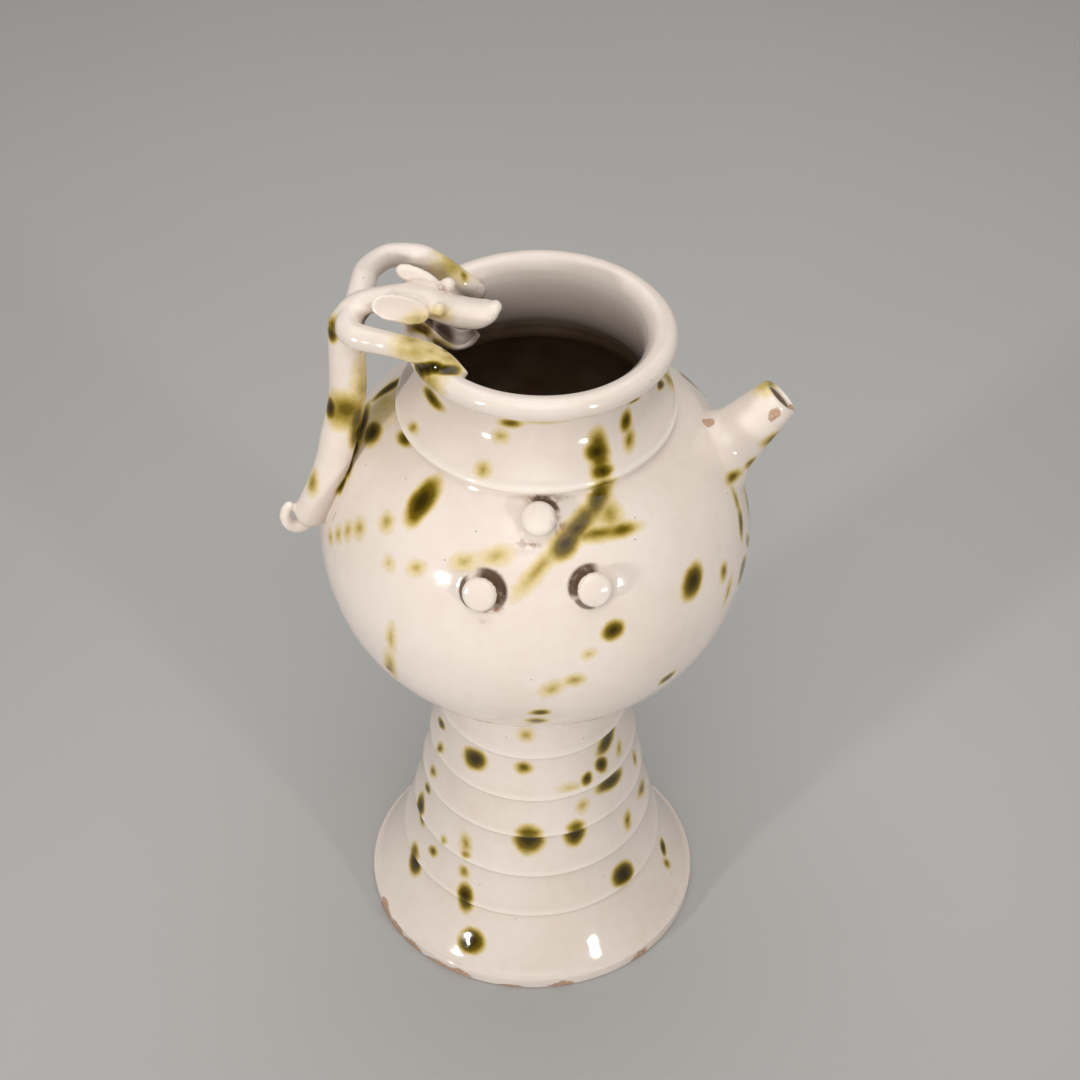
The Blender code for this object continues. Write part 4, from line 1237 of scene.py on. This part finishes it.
def inner_wall(x, y, z):
    """Which hollow a point lines: 1 the body's, 2 the foot's, 0 neither."""
    warp = 1.0 - smooth_step(z / RIM_SETTLE_HEIGHT)
    lean = smooth_step((z - LEDGE_HEIGHT) / (LIP_HEIGHT - LEDGE_HEIGHT))
    x = x - RIM_SETTLE_SHIFT[0] * warp - MOUTH_SHIFT * lean
    y = (y - RIM_SETTLE_SHIFT[1] * warp) / (1.0 - RIM_SETTLE_SQUEEZE * warp)
    z = z + y * math.tan(MOUTH_TILT) * lean
    radius = math.hypot(x, y)
    if z < 0.5 * (FOOT_CEILING + BODY_EQUATOR - CAVITY_DEPTH):
        if z < WAIST_HEIGHT:
            return 2 if radius < foot_ridge_radius(z) - 0.7 * size("foot_wall") or z < GROUND_SKIN else 0
        return 2 if radius < WAIST_RADIUS - 0.5 * WAIST_WALL else 0
    if z < LEDGE_HEIGHT + LEDGE_SKIN:
        return 1 if radius < outer_body_radius(z) - 0.5 * size("body_wall") else 0
    share = (THROAT_HEIGHT - z) / (THROAT_HEIGHT - THROAT_FOOT_HEIGHT)
    throat = THROAT_RADIUS + (THROAT_FOOT_RADIUS - THROAT_RADIUS) * max(share, 0.0) ** 2
    return 1 if z < THROAT_HEIGHT + THROAT_SKIN[0] and radius < throat + THROAT_SKIN[1] else 0


def bore_gap(point):
    """How far a point is from the spout's axis beyond the bore's own radius."""
    mouth, along, _, _ = spout_frame()
    down = (mouth - point).dot(along)
    if not -SKIN < down < SPOUT_LENGTH:
        return 1.0
    away = (point - mouth + along * down).length
    radius = size("spout_bore_radius")
    return away - radius - (SPOUT_BORE_ROOT_RADIUS - radius) * down / SPOUT_BORE_LENGTH


def oval_reach(places, ovals):
    """Length of each place from the middle of the nearest upright ellipsoid, 1 on its surface."""
    reach = np.full(len(places), 99.0)
    for x, y, z, half_x, half_y, half_z in ovals:
        offset = (places / MM - (x, y, z)) / (half_x, half_y, half_z)
        reach = np.minimum(reach, np.linalg.norm(offset, axis=1))
    return reach


def splash_middle(strength):
    """Field in the middle of a splash."""
    return FIELD_AT_NOTHING + FIELD_PER_STRENGTH * strength


def splash_slope(half_width, strength):
    """How fast a splash's field rises from its middle, through its edge, to the end of its halo."""
    middle = splash_middle(strength)
    return max((FIELD_AT_EDGE - middle) / half_width, (FIELD_AT_HALO - middle) / (WIDEST_HALO * half_width))


def pool_field(places):
    """Field of the pools on what is luted, negative inside."""
    field = np.full(len(places), FIELD_LIMIT)
    for x, y, z, half_x, half_y, half_z, strength in POOLS:
        reach = min(half_x, half_y, half_z)
        length = oval_reach(places, ((x, y, z, half_x, half_y, half_z),))
        pool = splash_middle(strength) + splash_slope(reach, strength) * reach * length
        share = np.clip(1.0 - np.abs(field - pool) / SPLASH_SOFTNESS, 0.0, 1.0)
        field = np.minimum(field, pool) - share ** 3 * SPLASH_SOFTNESS / 6.0
    return field


def stud_shadow_and_dirt_marks(places):
    """Darkness of the painted shadow and dirt in the crescents round the studs."""
    marks = np.zeros(len(places))
    for index, middle, half_span, width, darkness in STUD_SHADOWS_AND_DIRT:
        seat, out, side, up = stud_frame(*STUDS[index])
        offset = places - np.array(seat)
        rise, right, top = offset @ np.array(out), offset @ np.array(side), offset @ np.array(up)
        turn = (np.degrees(np.arctan2(top, right)) - middle + 180.0) % 360.0 - 180.0
        span = 1.0 - eased(np.abs(turn), 0.6 * half_span, half_span)
        away = np.hypot(right, top) - STUD_ROOT_RADIUS
        reach = width * MM * (1.0 - 0.6 * (turn / half_span) ** 2)
        band = 1.0 - eased(away, 0.55 * reach, reach + STUD_SHADOW_EASE)
        beside = (away > -STUD_SHADOW_INSET) * (np.abs(rise + STUD_SHADOW_SINK) < STUD_SHADOW_HALF_DEPTH)
        marks = np.maximum(marks, darkness * span * (band * beside))
    return marks


def mark_surface(mesh, distance):
    """Work out where the glaze gathers, thins, or is missing."""
    places, outward = coordinates(mesh), normals(mesh)
    ends = edge_ends(mesh)
    counts = np.maximum(np.bincount(ends.ravel(), minlength=len(places)), 1)
    height = places[:, 2]
    warp = 1.0 - eased(height, 0.0, RIM_SETTLE_HEIGHT)
    lean = eased(height, LEDGE_HEIGHT, LIP_HEIGHT)
    true_x = places[:, 0] - RIM_SETTLE_SHIFT[0] * warp - MOUTH_SHIFT * lean
    true_y = (places[:, 1] - RIM_SETTLE_SHIFT[1] * warp) / (1.0 - RIM_SETTLE_SQUEEZE * warp)
    radius = np.hypot(true_x, true_y)

    ridge = np.zeros(len(places))
    for ridge_height in RIDGE_HEIGHTS:
        gap = np.hypot(height - ridge_height, radius - foot_ridge_radius(ridge_height))
        ridge = np.maximum(ridge, 1.0 - eased(gap, *RIDGE_SPREAD))
    flange_gap = np.hypot(height - FLANGE_HEIGHT + 0.0010, radius - FLANGE_RADIUS)
    ridge = np.maximum(ridge, 0.8 * (1.0 - eased(flange_gap, *FLANGE_SPREAD)))

    lengths = np.linalg.norm(places[ends[:, 0]] - places[ends[:, 1]], axis=1)
    spacing = (np.bincount(ends[:, 0], weights=lengths, minlength=len(places))
               + np.bincount(ends[:, 1], weights=lengths, minlength=len(places))) / counts
    hollow = (neighbour_mean(places, ends, counts) - places) * outward
    bend = hollow.sum(axis=1) / np.maximum(spacing, 1e-5) ** 2
    bend = np.clip(bend, -BEND_LIMIT, BEND_LIMIT)[:, None]
    for _ in range(BEND_ROUNDS):
        bend = 0.4 * bend + 0.6 * neighbour_mean(bend, ends, counts)
    bend = bend[:, 0]

    lining = np.array([inner_wall(*place) for place in places])
    body_inside = lining == 1
    body_inside |= np.array([place[0] > SPOUT_SIDE and bore_gap(Vector(place)) < SKIN for place in places])
    foot_inside = lining == 2
    set_attribute(mesh, "thin_edge", ridge)
    set_attribute(mesh, "crease", np.clip(bend / CREASE_BEND, 0.0, 1.0))
    set_attribute(mesh, "bulge", np.clip(-bend / BULGE_BEND - BULGE_START, 0.0, 1.0))
    set_attribute(mesh, "seam", 1.0 - eased(distance, *SEAM_SPREAD))
    set_attribute(mesh, "body_inside", body_inside.astype(float))
    set_attribute(mesh, "foot_inside", foot_inside.astype(float))
    set_attribute(mesh, "pool", pool_field(places))
    set_attribute(mesh, "bare_gap", np.minimum(oval_reach(places, BARE_PATCHES), 3.0))
    set_attribute(mesh, "grime", 1.0 - eased(oval_reach(places, DIRT), 0.5, 1.25))
    # Brown stain with painted shade in the dragon's mouth and under its neck
    set_attribute(mesh, "stain", 1.0 - eased(oval_reach(places, STAINS_AND_SHADE), 0.6, 1.2))
    # Painted shadow and dirt in the crescents round the studs
    set_attribute(mesh, "crevice", stud_shadow_and_dirt_marks(places))


# Materials

class Weave:
    """Short words for the nodes of one material."""

    def __init__(self, material):
        material.use_nodes = True
        self.tree = material.node_tree
        self.shader = self.tree.nodes["Principled BSDF"]
        self.place = self.node("ShaderNodeTexCoord").outputs["Object"]

    def node(self, kind, **settings):
        """A new node with its settings."""
        item = self.tree.nodes.new(kind)
        for key, value in settings.items():
            setattr(item, key, value)
        return item

    def feed(self, socket, value):
        """Link a socket or set its value."""
        if isinstance(value, bpy.types.NodeSocket):
            self.tree.links.new(value, socket)
        else:
            socket.default_value = value

    def math(self, operation, *values, clamp=False):
        """Math node of one, two or three values."""
        item = self.node("ShaderNodeMath", operation=operation, use_clamp=clamp)
        for socket, value in zip(item.inputs, values):
            self.feed(socket, value)
        return item.outputs[0]

    def vector(self, operation, *values):
        """Vector math node."""
        item = self.node("ShaderNodeVectorMath", operation=operation)
        for socket, value in zip(item.inputs, values):
            self.feed(socket, value)
        return item.outputs["Value" if operation in ("LENGTH", "DISTANCE", "DOT_PRODUCT") else "Vector"]

    def scaled(self, vector, factor):
        """Vector times a number."""
        item = self.node("ShaderNodeVectorMath", operation="SCALE")
        self.feed(item.inputs[0], vector)
        self.feed(item.inputs["Scale"], factor)
        return item.outputs["Vector"]

    def ranged(self, value, low, high, out_low=0.0, out_high=1.0):
        """Smooth map of a value from one range to another."""
        item = self.node("ShaderNodeMapRange", interpolation_type="SMOOTHSTEP")
        for socket, given in zip(item.inputs, (value, low, high, out_low, out_high)):
            self.feed(socket, given)
        return item.outputs[0]

    def noise(self, scale, detail=2.0, roughness=0.5, place=None, colour=False):
        """Noise over the surface, its scale in features per metre."""
        item = self.node("ShaderNodeTexNoise")
        self.feed(item.inputs["Vector"], place or self.place)
        item.inputs["Scale"].default_value = scale
        item.inputs["Detail"].default_value = detail
        item.inputs["Roughness"].default_value = roughness
        return item.outputs["Color" if colour else "Fac"]

    def stretched(self, scale):
        """The place, stretched by a factor along each axis."""
        item = self.node("ShaderNodeMapping")
        self.feed(item.inputs["Vector"], self.place)
        item.inputs["Scale"].default_value = scale
        return item.outputs[0]

    def mixed(self, share, first, second, blend="MIX"):
        """Mix of two colours."""
        item = self.node("ShaderNodeMix", data_type="RGBA", blend_type=blend)
        self.feed(item.inputs[0], share)
        self.feed(item.inputs[6], first)
        self.feed(item.inputs[7], second)
        return item.outputs[2]

    def height(self):
        """Height above the floor."""
        item = self.node("ShaderNodeSeparateXYZ")
        self.feed(item.inputs[0], self.place)
        return item.outputs["Z"]

    def red(self, colour):
        """Red part of a colour."""
        item = self.node("ShaderNodeSeparateColor")
        self.feed(item.inputs[0], colour)
        return item.outputs[0]

    def attribute(self, name):
        """A number kept on the mesh."""
        return self.node("ShaderNodeAttribute", attribute_name=name).outputs["Fac"]

    def ramp(self, value, stops):
        """Colour ramp over a value from 0 to 1."""
        item = self.node("ShaderNodeValToRGB")
        self.feed(item.inputs[0], value)
        ramp = item.color_ramp
        ramp.interpolation = "LINEAR"
        while len(ramp.elements) < len(stops):
            ramp.elements.new(0.5)
        for element, (position, colour) in zip(ramp.elements, stops):
            element.position = position
            element.color = colour
        return item.outputs["Color"]

    def oval(self, place, middle, rotation, half_sizes, reach):
        """Ball of grey round a point, squeezed to the half sizes, that fades out at a reach of them."""
        item = self.node("ShaderNodeMapping", vector_type="TEXTURE")
        self.feed(item.inputs["Vector"], place)
        item.inputs["Location"].default_value = middle
        item.inputs["Rotation"].default_value = rotation
        item.inputs["Scale"].default_value = tuple(reach * half for half in half_sizes)
        ball = self.node("ShaderNodeTexGradient", gradient_type="SPHERICAL")
        self.feed(ball.inputs["Vector"], item.outputs[0])
        return ball.outputs["Fac"]

    def from_line(self, place, start, end):
        """Distance from a straight line between two points."""
        line = Vector(end) - Vector(start)
        offset = self.vector("SUBTRACT", place, tuple(start))
        share = self.vector("DOT_PRODUCT", offset, tuple(line / line.length_squared))
        share = self.math("MINIMUM", self.math("MAXIMUM", share, 0.0), 1.0)
        return self.vector("DISTANCE", offset, self.scaled(tuple(line), share))

    def bump(self, height, unit):
        """Bump from a height, in a unit of length."""
        item = self.node("ShaderNodeBump")
        item.inputs["Strength"].default_value = 1.0
        item.inputs["Distance"].default_value = unit
        self.feed(item.inputs["Height"], height)
        return item.outputs["Normal"]


def surface_radius(height):
    """Half width of the jar's outside at a height, for laying a splash."""
    if height < BODY_FOOT_HEIGHT:
        return foot_ridge_radius(height) - TIER_SETBACK
    if height < SHOULDER_HEIGHT:
        return outer_body_radius(height)
    share = min(max((height - COLLAR_BASE) / (COLLAR_TOP - COLLAR_BASE), 0.0), 1.0)
    return COLLAR_RADIUS + COLLAR_FLARE * (1.0 - share) ** COLLAR_POWER


def splash_frame(azimuth_degrees, height, lean_degrees):
    """Middle and rotation of a splash: its X across, its Y along and its Z out of the wall."""
    turn = math.radians(azimuth_degrees)
    step = 0.001
    slope = (surface_radius(height + step) - surface_radius(height - step)) / (2.0 * step)
    out = direction(turn, math.atan(-slope))
    right = Vector((-math.sin(turn), math.cos(turn), 0.0))
    up = out.cross(right)
    lean = math.radians(lean_degrees)
    along = up * math.cos(lean) + right * math.sin(lean)
    radius = surface_radius(height)
    middle = settle(radius * math.cos(turn), radius * math.sin(turn), height)
    return middle, Matrix((along.cross(out), along, out)).transposed().to_euler()


def merge(weave, total, field, softness):
    """Smooth minimum of what is laid so far and one more field."""
    return field if total is None else weave.math("SMOOTH_MIN", total, field, softness)


def splash_field(weave, place, splashes):
    """Field of the splashes, negative inside."""
    total = None
    for azimuth, height, half_length, half_width, lean, strength in splashes:
        middle, rotation = splash_frame(azimuth, height * MM, lean)
        depth = FIELD_LIMIT - splash_middle(strength)
        reach = depth / (splash_slope(half_width, strength) * half_width)
        half_sizes = (half_width * MM, half_length * MM, SPLASH_DEPTH * MM)
        ball = weave.oval(place, middle, rotation, half_sizes, reach)
        total = merge(weave, total, weave.math("MULTIPLY_ADD", ball, -depth, FIELD_LIMIT), SPLASH_SOFTNESS)
    return total


def crack_field(weave, place):
    """Distance from the nearest crackle line, in half widths of a line."""
    total = None
    for line in CRACKS:
        for start, end in zip(line, line[1:]):
            away = weave.from_line(place, Vector(start) * MM, Vector(end) * MM)
            total = merge(weave, total, weave.math("MULTIPLY", away, 1.0 / (CRACK_HALF_WIDTH * MM)), 0.05)
    return total


def clear_glaze(weave, colours, marks):
    """Clear glaze over white clay: cloudy, warmer where it gathers, paler where it is drawn thin."""
    cloud = weave.ranged(weave.noise(26.0, 3.0, 0.55), 0.35, 0.75, 0.0, 0.5)
    fine_cloud = weave.ranged(weave.noise(240.0, 3.0, 0.6), 0.4, 0.8, 0.0, 0.22)
    streak = weave.noise(1.0, 3.0, 0.6, place=weave.stretched((170.0, 170.0, 22.0)))
    streak = weave.ranged(streak, 0.45, 0.8, 0.0, 0.18)
    gather = weave.math("ADD", cloud, weave.math("ADD", fine_cloud, streak))
    gather = weave.math("MULTIPLY_ADD", marks["crease"], 0.6, gather, clamp=True)
    colour = weave.mixed(gather, colours.glaze, colours.thick_glaze)
    thin = weave.math("MAXIMUM", weave.math("MULTIPLY", marks["thin_edge"], 0.9),
                      weave.math("MULTIPLY", marks["bulge"], 0.5))
    return weave.mixed(thin, colour, colours.thin_glaze)


def green_splashes(weave, colours, marks, field, colour):
    """Green glaze dropped over the clear one, tinting it near black, olive, ochre and a pale halo."""
    grain = weave.ranged(weave.noise(420.0, 2.0, 0.6), 0.2, 0.8, -EDGE_GRAIN, EDGE_GRAIN)
    field = weave.math("ADD", field, grain)
    field = weave.math("MULTIPLY_ADD", marks["thin_edge"], 1.5, field)
    field = weave.math("MULTIPLY_ADD", marks["lined"], FIELD_LIMIT, field)
    level = weave.math("MULTIPLY_ADD", field, RAMP_PER_FIELD, RAMP_AT_EDGE)
    tints = weave.ramp(level, ((0.0, colours.core), (0.30, colours.dark_olive), (0.546, colours.deep_olive),
                               (0.648, colours.olive), (0.744, colours.ochre), (0.84, colours.halo),
                               (0.972, NO_TINT)))
    return weave.mixed(1.0, colour, tints, "MULTIPLY")


def glaze_material(name, colours, splashes, with_cracks):
    """The whole finish of the fired piece, with the splashes that fall on one part of it."""
    material = bpy.data.materials.new(name)
    weave = Weave(material)
    marks = {mark: weave.attribute(mark) for mark in MARKS}
    marks["lined"] = weave.math("MAXIMUM", marks["body_inside"], marks["foot_inside"])

    # Uneven edges: the place that splashes are read at wanders a little
    wander = weave.vector("SUBTRACT", weave.noise(130.0, 1.0, colour=True), (0.5, 0.5, 0.5))
    ragged = weave.vector("SUBTRACT", weave.noise(620.0, 2.0, colour=True), (0.5, 0.5, 0.5))
    soft_place = weave.vector("ADD", weave.place, weave.scaled(wander, WANDER))
    soft_place = weave.vector("ADD", soft_place, weave.scaled(ragged, RAGGED_EDGE))
    drift = weave.ranged(weave.noise(170.0, 1.0), 0.3, 0.7, -POOL_DRIFT, POOL_DRIFT)
    pool = weave.math("ADD", marks["pool"], drift)

    colour = clear_glaze(weave, colours, marks)
    field = merge(weave, splash_field(weave, soft_place, splashes), pool, SPLASH_SOFTNESS)
    colour = green_splashes(weave, colours, marks, field, colour)

    # Iron specks in the clay
    specks = weave.node("ShaderNodeTexVoronoi", feature="F1")
    weave.feed(specks.inputs["Vector"], weave.place)
    specks.inputs["Scale"].default_value = SPECKS_PER_METRE
    chosen = weave.math("GREATER_THAN", weave.red(specks.outputs["Color"]), 0.80)
    speck = weave.math("MULTIPLY", chosen, weave.ranged(specks.outputs["Distance"], 0.03, 0.075, 0.75, 0.0))
    colour = weave.mixed(speck, colour, colours.dirt_and_shadow)

    # Dirt and painted shade: thin smears of dirt, brown stain with painted shade in the dragon's hollows, and
    # painted shadow with dirt round the studs
    smudge = weave.ranged(weave.noise(560.0, 4.0, 0.7), 0.40, 0.62)
    joint = weave.math("MULTIPLY_ADD", weave.math("MAXIMUM", marks["seam"], marks["crease"]), 0.65, 0.3)
    smear = weave.math("MULTIPLY", weave.math("MULTIPLY", marks["grime"], joint), smudge, clamp=True)
    colour = weave.mixed(smear, colour, colours.smear)
    colour = weave.mixed(weave.math("MULTIPLY", marks["stain"], 0.95), colour, colours.stain)
    dirt_and_shadow = weave.math("MULTIPLY", marks["crevice"], weave.ranged(weave.noise(500.0, 2.0), 0.2, 0.5, 0.8, 1.0))
    colour = weave.mixed(dirt_and_shadow, colour, colours.dirt_and_shadow)

    # Inside the body: a thin wash over bare clay, dark brown below the wash line as painted shade of the
    # cavity
    wash = weave.ranged(weave.noise(60.0, 4.0, 0.6), 0.3, 0.7)
    lining = weave.mixed(wash, colours.inside, THIN_WASH)
    deep = weave.ranged(weave.height(), *WASH_LINE, 1.0, 0.0)
    deep = weave.math("MULTIPLY", deep, marks["body_inside"])
    colour = weave.mixed(deep, colour, lining)

    # Bare clay: under the foot, at chips and where the glaze drew back
    grain = weave.noise(900.0, 4.0, 0.7)
    gap = weave.math("MULTIPLY_ADD", weave.noise(520.0, 3.0, 0.6), 0.9, marks["bare_gap"])
    bare = weave.math("MAXIMUM", weave.ranged(gap, 1.28, 1.44, 1.0, 0.0), marks["foot_inside"])
    bare_clay = weave.mixed(weave.ranged(grain, 0.3, 0.7), colours.clay, PALE_CLAY)
    colour = weave.mixed(bare, colour, bare_clay)

    # Crackle lines stained brown
    if with_cracks:
        crack_place = weave.vector("ADD", weave.place, weave.scaled(ragged, RAGGED_CRACK))
        crack = weave.ranged(crack_field(weave, crack_place), 0.5, 1.3, 0.8, 0.0)
        colour = weave.mixed(crack, colour, colours.dirt_and_shadow)
    weave.feed(weave.shader.inputs["Base Color"], colour)

    rough = weave.ranged(weave.noise(95.0, 3.0, 0.6), 0.3, 0.7, 0.05, 0.10)
    rough = weave.math("MULTIPLY_ADD", bare, 0.75, rough)
    rough = weave.math("MULTIPLY_ADD", weave.math("MAXIMUM", dirt_and_shadow, smear), 0.45, rough)
    rough = weave.math("MULTIPLY_ADD", deep, 0.28, rough, clamp=True)
    weave.feed(weave.shader.inputs["Roughness"], rough)
    weave.shader.inputs["IOR"].default_value = GLAZE_IOR

    # Orange peel, throwing rings, pits at the specks and the grain of bare clay, in mm
    rings = weave.noise(1.0, 3.0, 0.6, place=weave.stretched((9.0, 9.0, 620.0)))
    relief = weave.math("MULTIPLY", weave.noise(430.0, 2.0, 0.5), ORANGE_PEEL)
    relief = weave.math("MULTIPLY_ADD", rings, THROWING_RINGS, relief)
    relief = weave.math("MULTIPLY_ADD", speck, -SPECK_PIT, relief)
    clay = weave.math("MULTIPLY_ADD", grain, CLAY_GRAIN, -GLAZE_STEP)
    relief = weave.math("MULTIPLY_ADD", bare, clay, relief)
    weave.feed(weave.shader.inputs["Normal"], weave.bump(relief, MM))
    return material


# The studio

def lamp(name, place, aim, width, height, power, beam):
    """Soft rectangular lamp that looks at a point."""
    light = bpy.data.lights.new(name, "AREA")
    light.shape = "RECTANGLE"
    light.size = width
    light.size_y = height
    light.energy = power
    light.spread = beam
    light.color = LAMP_COLOUR
    item = bpy.data.objects.new(name, light)
    item.location = place
    item.rotation_euler = (aim - place).to_track_quat("-Z", "Y").to_euler()
    bpy.context.scene.collection.objects.link(item)


def place_camera():
    """Camera at the photograph's viewing angle."""
    forward = Vector((0.0, math.cos(CAMERA_FALL), -math.sin(CAMERA_FALL)))
    level = Vector((1.0, 0.0, 0.0))
    upward = Vector((0.0, math.sin(CAMERA_FALL), math.cos(CAMERA_FALL)))
    across = level * math.cos(CAMERA_ROLL) + upward * math.sin(CAMERA_ROLL)
    rise = upward * math.cos(CAMERA_ROLL) - level * math.sin(CAMERA_ROLL)
    camera = bpy.data.cameras.new("camera")
    camera.sensor_fit = "HORIZONTAL"
    camera.sensor_width = SENSOR_WIDTH
    camera.lens = FOCAL_PIXELS / IMAGE_PIXELS * SENSOR_WIDTH
    camera.clip_start = NEAREST_SEEN
    item = bpy.data.objects.new("camera", camera)
    matrix = Matrix((across, rise, -forward)).transposed().to_4x4()
    matrix.translation = Vector(CAMERA_PLACE)
    item.matrix_world = matrix
    bpy.context.scene.collection.objects.link(item)
    bpy.context.scene.camera = item


def floor_material(colour):
    """Matt pale paper, barely mottled."""
    material = bpy.data.materials.new("studio_floor")
    weave = Weave(material)
    tint = weave.ranged(weave.noise(3.0, 3.0, 0.5), 0.3, 0.7)
    darker = tuple(0.97 * value for value in colour[:3]) + (1.0,)
    weave.feed(weave.shader.inputs["Base Color"], weave.mixed(tint, colour, darker))
    weave.shader.inputs["Roughness"].default_value = FLOOR_ROUGHNESS
    weave.shader.inputs["Specular IOR Level"].default_value = FLOOR_GLOSS
    return material


# Operators

class JAR_OT_throw_form(bpy.types.Operator):
    """Throw the hollow form: foot, body, collar and lip, and the tool that bores the spout."""
    bl_idname = "jar.throw_form"
    bl_label = "Throw the form"

    def execute(self, context):
        form = mesh_object(TURNED_NAME, *turned_form(context.scene.jar_sizes))
        point_outwards(form)
        tag_faces(form, 0)
        bore = mesh_object(BORE_NAME, *spout_bore())
        point_outwards(bore)
        tag_faces(bore, 0)
        return {"FINISHED"}


class JAR_OT_make_spout_and_studs(bpy.types.Operator):
    """Make the plain spout and the three studs."""
    bl_idname = "jar.make_spout_and_studs"
    bl_label = "Make the spout and studs"

    def execute(self, context):
        studs = [stud(*place) for place in STUDS]
        for name, bodies in zip(LUTED_NAMES, ([spout_tube()], studs)):
            item = mesh_object(name, *joined(bodies))
            point_outwards(item)
            tag_faces(item, 1)
        return {"FINISHED"}


class JAR_OT_model_dragon(bpy.types.Operator):
    """Model the dragon from coils and pellets, and blend their joints as wet clay does."""
    bl_idname = "jar.model_dragon"
    bl_label = "Model the dragon"

    def execute(self, context):
        item = mesh_object(LUTED_NAMES[2], *joined(dragon_pieces()))
        point_outwards(item)
        remesh = item.modifiers.new("knead", "REMESH")
        remesh.mode = "VOXEL"
        remesh.voxel_size = context.scene.jar_sizes.clay_grain
        apply_modifiers(item)
        soften(item.data, *KNEAD)
        tag_faces(item, 1)
        return {"FINISHED"}


class JAR_OT_join_clay(bpy.types.Operator):
    """Lute everything to the thrown form, bore the spout and soften the seams."""
    bl_idname = "jar.join_clay"
    bl_label = "Join the clay"

    def execute(self, context):
        sizes = context.scene.jar_sizes
        objects = bpy.data.objects
        jar = objects[TURNED_NAME]
        for name in LUTED_NAMES:
            cut_or_join(jar, objects[name], "UNION")
        cut_or_join(jar, objects[BORE_NAME], "DIFFERENCE")
        jar.name = JAR_NAME
        tree = refine_seams(jar.data, sizes.seam_reach)
        distance = seam_distance(jar.data, tree)
        near = 1.0 - eased(distance, SEAM_CORE * sizes.seam_reach, sizes.seam_reach)
        soften(jar.data, SEAM_SHARE * near, SEAM_ROUNDS, SEAM_WEAR)
        mark_surface(jar.data, distance)
        jar.data.shade_smooth()
        if len(jar.data.vertices) < FEWEST_POINTS:
            raise RuntimeError("the joined clay lost its surface")
        return {"FINISHED"}


class JAR_OT_glaze(bpy.types.Operator):
    """Glaze the jar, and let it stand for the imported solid."""
    bl_idname = "jar.glaze"
    bl_label = "Glaze the jar"

    def execute(self, context):
        jar = bpy.data.objects[JAR_NAME]
        jar.data.materials.clear()
        colours = context.scene.jar_colours
        foot = [splash for splash in SPLASHES if splash[1] < FOOT_SPLASH_TOP]
        body = [splash for splash in SPLASHES if splash[1] >= FOOT_SPLASH_TOP]
        jar.data.materials.append(glaze_material("glaze_on_foot", colours, foot, False))
        jar.data.materials.append(glaze_material("glaze_on_body", colours, body, True))
        on_body = [int(face.center.z > BODY_GLAZE_HEIGHT) for face in jar.data.polygons]
        jar.data.polygons.foreach_set("material_index", on_body)
        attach(jar, "root")
        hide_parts(JAR_NODE)
        return {"FINISHED"}


class JAR_OT_set_stage(bpy.types.Operator):
    """Set up the pale floor, the soft lamps and the camera."""
    bl_idname = "jar.set_stage"
    bl_label = "Set the stage"

    def execute(self, context):
        studio = context.scene.jar_studio
        half = 0.5 * studio.floor_size
        floor = mesh_object("studio_floor", [(-half, -half, 0.0), (half, -half, 0.0), (half, half, 0.0),
                                             (-half, half, 0.0)], [(0, 1, 2, 3)])
        floor.data.materials.append(floor_material(studio.floor))
        aim = Vector(LAMP_AIM)
        for name, (azimuth, elevation, distance, width, height, beam) in LAMPS.items():
            place = aim + direction(math.radians(azimuth), math.radians(elevation)) * distance
            power = getattr(studio, name + "_power")
            lamp(name + "_lamp", place, aim, width, height, power, math.radians(beam))
        world = bpy.data.worlds.new("room")
        world.use_nodes = True
        background = world.node_tree.nodes["Background"]
        background.inputs["Color"].default_value = ROOM_COLOUR
        background.inputs["Strength"].default_value = studio.ambient
        context.scene.world = world
        context.scene.view_settings.view_transform = "Standard"
        place_camera()
        return {"FINISHED"}


OPERATORS = (JAR_OT_throw_form, JAR_OT_make_spout_and_studs, JAR_OT_model_dragon, JAR_OT_join_clay,
             JAR_OT_glaze, JAR_OT_set_stage)


class JAR_PT_panel(bpy.types.Panel):
    """Sizes, colours and steps of the jar."""
    bl_idname = "JAR_PT_panel"
    bl_label = "Glazed porcelain jar"
    bl_space_type = "VIEW_3D"
    bl_region_type = "UI"
    bl_category = "Jar"

    def draw(self, context):
        for group in (context.scene.jar_sizes, context.scene.jar_colours, context.scene.jar_studio):
            box = self.layout.box()
            for name in group.bl_rna.properties.keys():
                if name not in ("rna_type", "name"):
                    box.prop(group, name)
        for operator in OPERATORS:
            self.layout.operator(operator.bl_idname)


CLASSES = (JarSizes, JarColours, JarStudio) + OPERATORS + (JAR_PT_panel,)


def register():
    """Register the classes and their settings."""
    for item in CLASSES:
        bpy.utils.register_class(item)
    bpy.types.Scene.jar_sizes = bpy.props.PointerProperty(type=JarSizes)
    bpy.types.Scene.jar_colours = bpy.props.PointerProperty(type=JarColours)
    bpy.types.Scene.jar_studio = bpy.props.PointerProperty(type=JarStudio)


def unregister():
    """Take the classes and their settings away."""
    del bpy.types.Scene.jar_studio
    del bpy.types.Scene.jar_colours
    del bpy.types.Scene.jar_sizes
    for item in reversed(CLASSES):
        bpy.utils.unregister_class(item)


def main():
    """Make the jar and its studio."""
    register()
    bpy.ops.jar.throw_form()
    bpy.ops.jar.make_spout_and_studs()
    bpy.ops.jar.model_dragon()
    bpy.ops.jar.join_clay()
    bpy.ops.jar.glaze()
    bpy.ops.jar.set_stage()


if __name__ == "__main__":
    main()
